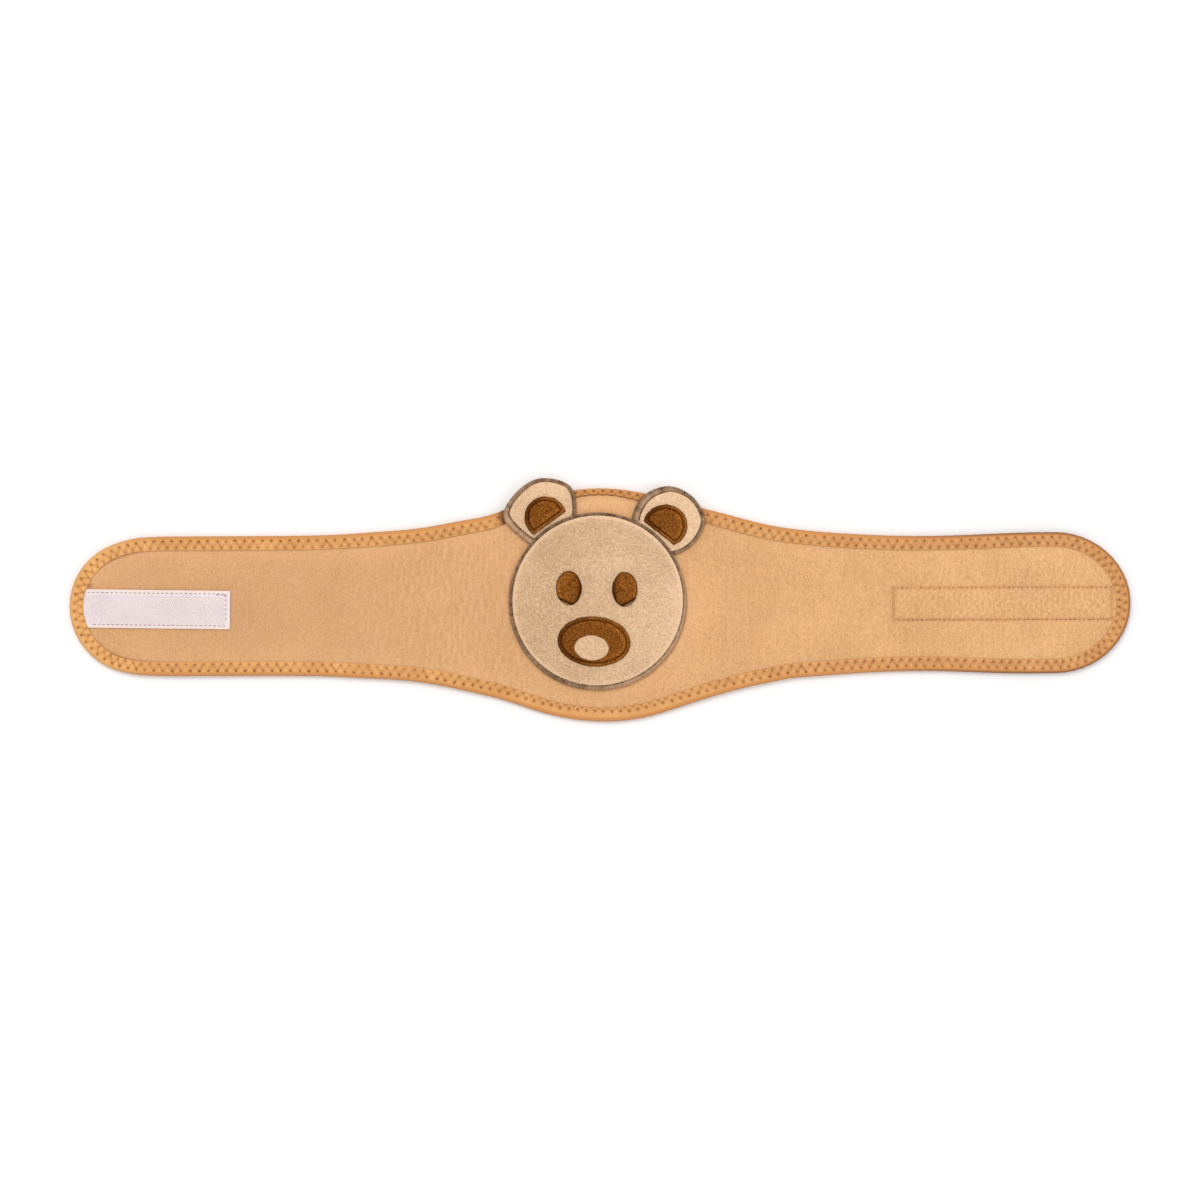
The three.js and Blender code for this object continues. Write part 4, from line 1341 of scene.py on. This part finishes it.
def add_tape(node, plan_at, start, reach, shares, low, high, material):
    """A woven tape from a start to its reach at each of its rows, with a fine ripple from its weave."""
    across = tape_rows()
    along = start + shares[:, None] * (reach - start)[None, :]
    plan = plan_at(along, np.tile(across, (len(shares), 1)))
    warp, weft = (np.cos(np.arange(count) * math.pi) for count in plan.shape[:2])
    weave = TAPE_WEAVE * warp[:, None] * weft
    points, faces = slab(plan, high + weave, low + weave, 1)
    field = ramp(TAPE_HALF_WIDTH - TAPE_PLAIN_EDGE - np.abs(across), *TAPE_FIELD_EDGE)
    shade = np.tile(field, 2 * len(shares))
    tape = add_piece(f"{node}_ground", points, faces, material, node, shade=shade)
    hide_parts(node)


def add_hook_tape():
    shares = np.linspace(1, 0, HOOK_TAPE["columns"])
    reach = hook_tape_reach(tape_rows())
    add_tape("hook_tape", tape_points, 0, reach, shares, HOOK_TAPE_LOW, HOOK_TAPE_TOP, HOOK)


def add_hooks():
    field = TAPE_HALF_WIDTH - TAPE_PLAIN_EDGE - HOOK_MARGINS["side"]
    rows = np.arange(-field, field, HOOK_PITCH[1])
    first = TAPE_SEAM_END + HOOK_MARGINS["seam"]
    feet = []
    for number, (across, end) in enumerate(zip(rows, hook_tape_reach(rows))):
        odd = number % 2
        side = 1 - 2 * odd
        along = np.arange(first, end - HOOK_MARGINS["binding"], HOOK_PITCH[0]) + HOOK_PITCH[0] / 2 * odd
        across, side = (np.full(len(along), value) for value in (across - side * HOOK_FOOT, side))
        feet.append(np.column_stack([along, across, side]))
    along, across, side = np.vstack(feet).T
    along = along + rng.uniform(-HOOK_JITTER, HOOK_JITTER, len(along))
    across = across + rng.uniform(-HOOK_JITTER, HOOK_JITTER, len(across))
    bend = np.array(HOOK_BEND)
    lean = turned(np.column_stack([np.zeros(len(side)), side]), HOOK_TAPE["tilt"])
    flat = tape_points(along, across)[:, None, :] + lean[:, None, :] * bend[None, :, :1]
    paths = np.dstack([flat, np.tile(HOOK_TAPE_TOP + bend[:, 1], (len(side), 1))])
    add_strands("hook_tape_hooks", paths, square_to(lean), HOOK_WIRE, HOOK_SIDES, HOOKS, "hook_tape")


def add_hook_tape_seam():
    """Stitches along three sides of the hook tape, sewn back over themselves at its upper corner."""
    seam = TAPE_HALF_WIDTH - TAPE_SEAM_INSET
    upper_end, lower_end = hook_tape_reach([seam, -seam]) - TAPE_SEAM_MARGIN
    corner = np.array([TAPE_SEAM_END, seam])
    turns = np.array([(upper_end, seam), corner, corner * (1, -1), (lower_end, -seam)])
    lines = [turns[i:i + 2] for i in range(3)] + [corner + tack for tack in BACK_TACKS]
    starts, ends = along_seams([tape_points(*line.T) for line in lines], **STITCH)
    add_stitches("hook_tape_stitches", starts, ends, HOOK_TAPE_TOP, SEAM_THREAD, TAPE_SEAM, "hook_tape")


def add_loop_tape():
    start = LOOP_TAPE["start"]
    reach = reach_to_binding(start + LOOP_TAPE["least"], HALF_LENGTH, belt_points, tape_rows())
    shares = np.linspace(0, 1, LOOP_TAPE["columns"])
    add_tape("loop_tape", belt_points, start, reach, shares, LOOP_TAPE_LOW, LOOP_TAPE_TOP, LOOP)

    field = TAPE_HALF_WIDTH - TAPE_PLAIN_EDGE
    along = rng.uniform(start + TAPE_PLAIN_EDGE, reach.min() - LOOP_MARGIN, LOOP_COUNT)
    feet = belt_points(along, rng.uniform(-field, field, LOOP_COUNT))
    lean = directions(rng.uniform(0, math.pi, LOOP_COUNT))
    sweep = np.linspace(0, math.pi, LOOP_POINTS)
    half = rng.uniform(*LOOP_HALF_WIDTHS, LOOP_COUNT)[:, None]
    flat = feet[:, None, :] + lean[:, None, :] * (half * np.cos(sweep))[:, :, None]
    drop = rng.uniform(*LOOP_DROPS, LOOP_COUNT)[:, None] * np.sin(sweep)
    paths = np.dstack([flat, LOOP_TAPE_LOW + LOOP_FOOT - drop])
    add_strands("loop_tape_pile", paths, square_to(lean), LOOP_YARN, LOOP_SIDES, LOOPS, "loop_tape")


def add_loop_tape_seam():
    """The sewn rectangle: long sides that show on the face, and ends that sink into the knit."""
    left, right, half = SEAM_BOX["left"], SEAM_BOX["right"], SEAM_BOX["half"]
    corners = closed(np.array([(left, -half), (right, -half), (right, half), (left, half)])) + (0, AXIS)
    starts, ends = along_seams([corners[i:i + 2] for i in range(4)], **STITCH)
    sunk = SEAM_SUNK["ends"] * (np.abs(starts[:, 0] - ends[:, 0]) < STITCH["length"] / 2)
    level = panel_face((starts + ends) / 2)[0] - sunk - rng.uniform(0, SEAM_SUNK["most"], len(starts))
    add_stitches("loop_tape_stitches", starts, ends, level, SEAM_THREAD, SEAM, "panel")
    add_stitches("loop_tape_back_stitches", starts, ends, LOOP_TAPE_LOW, SEAM_THREAD, SEAM, "loop_tape", -1)


# Bear's head and ears

def head_face(points):
    """Level of the head's plush, domed, puckered at its sewn rim and a little uneven."""
    out = np.clip(from_middle(points) / HEAD_RIM, 0, 1)
    dome = (1 - out ** DOME["flatness"]) ** DOME["roundness"]
    bearing = np.arctan2(*(points - HEAD_MIDDLE).T)
    phase = PUCKERS["count"] * bearing + PUCKERS["drift"] * np.sin(PUCKERS["drifts"] * bearing)
    pucker = PUCKERS["height"] * np.sin(phase) * out ** PUCKERS["fall"]
    rise = (HEAD_THICKNESS - HEAD_EDGE) * dome + PLUSH_UNEVEN * dome * ripple(points, uneven["head"])
    return HEAD_BASE + HEAD_EDGE + rise + pucker + swell("head", points)


def edging_width(edging, normals):
    """Width of an edging where its outline has these inward normals."""
    bearing = np.arctan2(-normals[:, 1], -normals[:, 0]) - math.radians(edging["bearing"])
    return edging["narrow"] + (edging["wide"] - edging["narrow"]) * (0.5 + 0.5 * np.cos(bearing)) ** 2


def add_overcast(name, line, normals, edging, base, height, over):
    """Thread wound over an edge. base() gives the level of its foot, and over() that of the plush inside."""
    run = lengths(line)
    places = np.arange(0, run[-1], EDGING_PITCH)
    count = len(places)
    feet = sampled(run, line, places)
    normal = unit(sampled(run, normals, places))
    ahead = np.column_stack([normal[:, 1], -normal[:, 0]])
    width = edging_width(edging, normal)[:, None]
    sweep = np.linspace(0, math.pi, EDGING_POINTS)
    share = (1 - np.cos(sweep)) / 2
    inset = EDGING_START + (width - 2 * EDGING_START) * share[None, :]
    slant = EDGING_SLANT * EDGING_PITCH * (share - 0.5) + rng.normal(0, EDGING_JITTER, (count, 1))
    flat = feet[:, None, :] + normal[:, None, :] * inset[:, :, None] + ahead[:, None, :] * slant[:, :, None]
    low = base(feet)[:, None]
    end = over(feet + normal * width, width[:, 0])[:, None] - EDGING_SUNK
    ground = low + (end - low) * smooth(share)[None, :]
    crest = np.maximum(low + height - EDGING_THREAD, end + EDGING_CREST)
    paths = np.dstack([flat, ground + (crest - ground) * np.sin(sweep)[None, :] ** EDGING_ROUNDNESS])
    points, faces = strands(paths, np.column_stack([ahead, np.zeros(count)]), EDGING_THREAD, EDGING_SIDES)
    narrow_tone, wide_tone, haze_tone = (
        np.interp(share, EDGING_SHARES, edging[key]) for key in ("narrow_tones", "wide_tones", "haze")
    )
    wideness = (width - edging["narrow"]) / (edging["wide"] - edging["narrow"])
    tone = narrow_tone + (wide_tone - narrow_tone) * wideness
    tone += np.clip(-normal @ EDGING_HAZE, 0, 1)[:, None] ** 2 * haze_tone
    tone += EDGING_BLOTCH * ripple(feet, uneven["blotch"])[:, None] + rng.uniform(*EDGING_TONES, (count, 1))
    return add_piece(name, points, faces, EDGING, "edging", tone=np.repeat(tone.ravel(), EDGING_SIDES))


def add_head():
    rim = HEAD_MIDDLE + HEAD_RIM * directions(full_turn(HEAD_POINTS))
    points, faces = patch(
        rim, HEAD_MIDDLE, **HEAD_RINGS,
        top=lambda plan, inside: head_face(plan), under=lambda plan: np.full(len(plan), HEAD_BASE),
    )
    # Tone: a painted highlight along the rim, and painted shade on the top of the head
    past_rim = from_middle(points[:, :2]) - HEAD_RIM + PLUSH_RIM_HIGHLIGHT["start"]
    tone = MID_TONE + PLUSH_RIM_HIGHLIGHT["tone"] * np.exp(past_rim / PLUSH_RIM_HIGHLIGHT["reach"])
    tone -= FOREHEAD_SHADE["tone"] * ramp(points[:, 1] - HEAD_MIDDLE[1], *FOREHEAD_SHADE["above"])
    head = add_piece("head_pad", points, faces, PLUSH, "plush", tone=tone)
    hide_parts("bear_head")
    line = HEAD_MIDDLE + HEAD_RADIUS * directions(full_turn(HEAD_EDGING_POINTS))
    out = unit(line - HEAD_MIDDLE)
    full = np.clip(out @ HEAD_FULLNESS["side"], 0, 1)[:, None] ** HEAD_FULLNESS["fall"]
    line = closed(line + out * HEAD_FULLNESS["reach"] * full)
    edging = add_overcast(
        "head_overcast", line, HEAD_MIDDLE - line, HEAD_EDGING,
        lambda plan: np.full(len(plan), HEAD_BASE + HEAD_EDGING_FOOT), HEAD_EDGING_HEIGHT,
        lambda plan, inset: head_face(plan),
    )
    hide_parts("head_edging")


def ear_line(side):
    """The ear's whole outline, a smooth curve through its radii at eight bearings."""
    ear = EARS[side]
    knots = len(ear["radii"])
    numbers = np.arange(-2, knots + 3)
    points = np.array(ear["radii"])[numbers % knots][:, None] * directions(2 * math.pi * numbers / knots)
    slope = (points[2:] - points[:-2]) / 2
    share = np.linspace(0, 1, EAR_SPAN_POINTS, endpoint=False)[:, None]
    here, there = 2 * share ** 3 - 3 * share ** 2 + 1, 3 * share ** 2 - 2 * share ** 3
    leave, arrive = share ** 3 - 2 * share ** 2 + share, share ** 3 - share ** 2
    spans = [
        here * points[k + 1] + there * points[k + 2] + leave * slope[k] + arrive * slope[k + 1]
        for k in range(1, knots + 1)
    ]
    return np.vstack(spans) + HEAD_CENTRE + (ear["x"], ear["y"])


def clear_of_head(line, margin):
    """Numbers of the points of a closed line outside the head, from one end to the other."""
    out = head_distance(line) > margin
    first = np.argmax(out & ~np.roll(out, 1))
    return (first + np.arange(out.sum())) % len(line)


def ear_rim(side):
    """The plush's outline, inside the ear's and closed by an arc along the head."""
    line = ear_line(side)
    line = line + inward(line) * EAR_TUCK
    free = line[clear_of_head(line, EAR_GAPS["plush"])]
    bearings = [math.atan2(*(point - HEAD_MIDDLE)[::-1]) for point in (free[-1], free[0])]
    arc = np.linspace(*bearings, EAR_ARC_POINTS)[1:-1]
    along_head = HEAD_MIDDLE + (HEAD_RADIUS + EAR_GAPS["plush"]) * directions(arc)
    return closed_evenly(np.vstack([free, along_head]), EAR_POINTS)


def ear_base(points):
    """Level of what the ear lies on: the binding, and the panel inside it."""
    depth, nearest = from_edge(points)
    return EAR_LEVEL - EAR_STEP["depth"] * ramp(depth - face_rim[nearest], 0, EAR_STEP["width"])


def ear_face(points, inside):
    rise = np.sin(np.clip(inside / EAR_SLOPE, 0, 1) * math.pi / 2)
    rise = (EAR_THICKNESS - EAR_EDGE) * rise + PLUSH_UNEVEN * ripple(points, uneven["head"])
    return ear_base(points) + EAR_EDGE + (rise + swell("ears", points))


def add_ear(side):
    rim = ear_rim(side)
    points, faces = patch(rim, rim.mean(axis=0), **EAR_RINGS, top=ear_face, under=ear_base)
    tone = np.full(len(points), EAR_TONE)
    ear = add_piece(f"ear_pad_{side}", points, faces, EAR_PLUSH, "plush", tone=tone)
    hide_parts(f"ear_{side}")
    line = ear_line(side)
    free = clear_of_head(line, EAR_GAPS["edging"])
    edging = add_overcast(
        f"ear_overcast_{side}", line[free], inward(line)[free], EARS[side]["edging"],
        lambda plan: ear_base(plan) + EAR_EDGING_FOOT, EAR_EDGING_HEIGHT,
        lambda plan, inset: ear_face(plan, inset - EAR_TUCK),
    )
    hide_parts(f"ear_edging_{side}")


def in_felt(points):
    """Which points lie under a felt patch."""
    covered = np.zeros(len(points), dtype=bool)
    for felt in FELTS.values():
        local = turned(points - HEAD_CENTRE - (felt.x, felt.y), -math.radians(felt.tilt))
        covered |= ((local / felt.half) ** 2).sum(axis=1) < FELT_COVER
    return covered


def add_plush_nap():
    count = NAPS["head"]["count"]
    out = (HEAD_RIM - NAP_MARGINS["plush"]) * np.sqrt(rng.uniform(0, 1, count))
    plan = HEAD_MIDDLE + out[:, None] * directions(rng.uniform(0, 2 * math.pi, count))
    plan = plan[~in_felt(plan)]
    add_nap("head_nap", plan, head_face(plan), NAPS["head"], PLUSH, "plush")
    count = NAPS["ear"]["count"]
    for side in EARS:
        rim = ear_rim(side)
        plan = rng.uniform(rim.min(axis=0), rim.max(axis=0), (NAPS["ear"]["drawn"] * count, 2))
        plan = plan[within(rim, plan) & ~in_felt(plan)][:count]
        inside = distance_to(rim, plan)
        kept = inside > NAP_MARGINS["plush"]
        plan, inside = plan[kept], inside[kept]
        add_nap(f"ear_nap_{side}", plan, ear_face(plan, inside), NAPS["ear"], EAR_PLUSH, "plush")


# Felt patches

def felt_arc(felt, start, end, count):
    """Points of a felt patch's oval from one bearing to another."""
    oval = directions(np.linspace(math.radians(start), math.radians(end), count)) * felt.half
    return turned(oval, math.radians(felt.tilt)) + HEAD_CENTRE + (felt.x, felt.y)


def felt_rim(name):
    """A felt patch's outline, a little uneven from its cutting. An eye's goes round its lower lip too."""
    felt = FELTS[name]
    arc = WHOLE_OVAL if name.startswith("eye") else felt.arc
    rim = felt_arc(felt, *arc, FELT_ARC_POINTS)
    rim = closed_evenly(rim[:-1] if arc == WHOLE_OVAL else rim, FELT_POINTS)
    return rim + inward(rim) * (FELT_RIM_UNEVEN * ripple(rim, ripples(*FELT_RIM_WAVES)))[:, None]


def past_chord(name, points):
    """Distance of points past an eye's chord, less than 0 above it."""
    felt = FELTS[name]
    last, first = felt_arc(felt, felt.arc[1], felt.arc[0], 2)
    along = unit(first - last)
    return (points - last) @ np.array([along[1], -along[0]])


def felt_support(name):
    """The piece that a felt patch lies on, and that piece's surface."""
    if name.startswith("inner_ear"):
        under = name.replace("inner_ear", "ear_pad")
        return under, lambda points: ear_face(points, np.full(len(points), EAR_SLOPE)) + FELT_GAP
    if name == "nose_patch":
        return "muzzle_felt", lambda points: head_face(points) + FELT_THICKNESS + NOSE_GAP
    return "head_pad", lambda points: head_face(points) + FELT_GAP


def felt_marks(name, rim, points):
    """Shade and lip shadow of a felt patch, dark at its cut edge, along its sewing and on one side."""
    inside = distance_to(rim, points)
    if name == "nose_patch":
        return fade(inside, *NOSE_RIM), np.zeros(len(points))
    # Painted shade on the side at the patch's bearing, and a painted highlight on the opposite side
    bearing = np.arctan2(*(points - rim.mean(axis=0)).T[::-1]) - math.radians(FELTS[name].dark)
    lit_side = np.clip(-np.cos(bearing), 0, 1)
    shade = FELT_RIM_SHADE * ramp(-inside, *FELT_RIM)
    shade += np.clip(np.cos(bearing), 0, 1) * fade(inside, *FELT_SHADED_SIDE)
    if not name.startswith("eye"):
        shade += mark(inside, *FELT_SEAM_SHADE) + FELT_MIDDLE["shade"] * ramp(inside, *FELT_MIDDLE["inside"])
        return shade - lit_side * mark(inside, *FELT_HIGHLIGHT_BAND), np.zeros(len(points))
    shade += EYE_SHADE - lit_side * mark(inside, *EYE_HIGHLIGHT_BAND)
    # Past an eye's chord, its thin lip carries a painted shadow, darker at its edge
    past = past_chord(name, points)
    wear = ramp(past, *EYE_LIP["wear"])
    lip = (EYE_LIP["shade"] + fade(inside, *EYE_LIP_RIM)) * wear
    return shade * (1 - wear) + mark(past, *EYE_CHORD) + lip, wear


def add_felt(name):
    rim = felt_rim(name)
    under, support = felt_support(name)
    eye = name.startswith("eye")
    nose = name == "nose_patch"
    sewn = not (eye or nose)
    waves = ripples(*FELT_FACE_WAVES)

    def face(points, inside):
        rounded = np.sqrt(1 - (1 - np.clip(inside / FELT_ROUNDING, 0, 1)) ** 2)
        thickness = FELT_THICKNESS * (FELT_EDGE_SHARE + (1 - FELT_EDGE_SHARE) * rounded)
        if eye:
            lip = ramp(past_chord(name, points), *EYE_LIP["past"])
            thickness = thickness * (1 - lip) + EYE_LIP["thickness"] * lip
        if sewn:
            thickness = thickness - mark(inside, *FELT_GROOVE)
        return support(points) + thickness + FELT_UNEVEN * ripple(points, waves)

    points, faces = patch(rim, rim.mean(axis=0), **FELT_RINGS, top=face, under=support)
    shade, wear = felt_marks(name, rim, points[:, :2])
    material, slot = (CREAM, "cream_felt") if nose else (BROWN, "brown_felt")
    piece = add_piece(f"{name}_felt", points, faces, material, slot, shade=shade, wear=wear)
    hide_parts(name)
    ahead = np.roll(rim, -1, axis=0)
    area = abs((rim[:, 0] * ahead[:, 1] - rim[:, 1] * ahead[:, 0]).sum()) / 2 * MM * MM
    if sewn:
        line = rim + inward(rim) * FELT_SEAM
        line = closed(line[distance_to(rim, line) > FELT_SEAM - FELT_SEAM_SLACK])
        starts, ends = along_seams([line], **FELT_STITCH)
        level = face((starts + ends) / 2, np.full(len(starts), FELT_SEAM))
        add_stitches(f"{name}_stitches", starts, ends, level, FELT_THREAD, FELT_SEWING, slot)


# Studio

def add_floor():
    mesh = bpy.data.meshes.new("floor")
    square = ((-1, -1), (1, -1), (1, 1), (-1, 1))
    corners = [(x * FLOOR_REACH, y * FLOOR_REACH, FLOOR_LEVEL) for x, y in square]
    mesh.from_pydata(corners, [], [(0, 1, 2, 3)])
    paint = bpy.data.materials.new("floor_paint")
    paint.use_nodes = True
    set_values(paint.node_tree.nodes["Principled BSDF"], FLOOR_PAINT)
    mesh.materials.append(paint)
    add_object("floor", mesh)


def add_studio():
    scene = bpy.context.scene
    scene.view_settings.view_transform = "Standard"
    world = bpy.data.worlds.new("studio")
    world.use_nodes = True
    set_values(world.node_tree.nodes["Background"], SKY)
    scene.world = world
    for name, values in LIGHTS.items():
        lamp = bpy.data.lights.new(name, "AREA")
        lamp.size = values["size"]
        lamp.energy = values["power"]
        light = add_object(name, lamp)
        light.location = values["place"]
        light.rotation_mode = "QUATERNION"
        light.rotation_quaternion = (-Vector(values["place"])).to_track_quat("-Z", "Y")


def add_camera():
    """Straight above the belt."""
    data = bpy.data.cameras.new("camera")
    data.sensor_width = SENSOR
    data.lens = LENS
    data.clip_end = CLIP_END
    camera = add_object("camera", data)
    camera.location = (0, 0, BINDING_TOP * MM + VIEW_WIDTH * LENS / SENSOR)
    camera.rotation_euler = (0, 0, math.radians(CAMERA_ROLL))
    bpy.context.scene.camera = camera


add_studio()
add_camera()
add_floor()
swell_pads()
add_panel()
add_binding()
add_zigzag()
add_hook_tape()
add_hooks()
add_hook_tape_seam()
add_loop_tape()
add_loop_tape_seam()
add_head()
for side in EARS:
    add_ear(side)
for name in FELTS:
    add_felt(name)
add_panel_nap()
add_plush_nap()
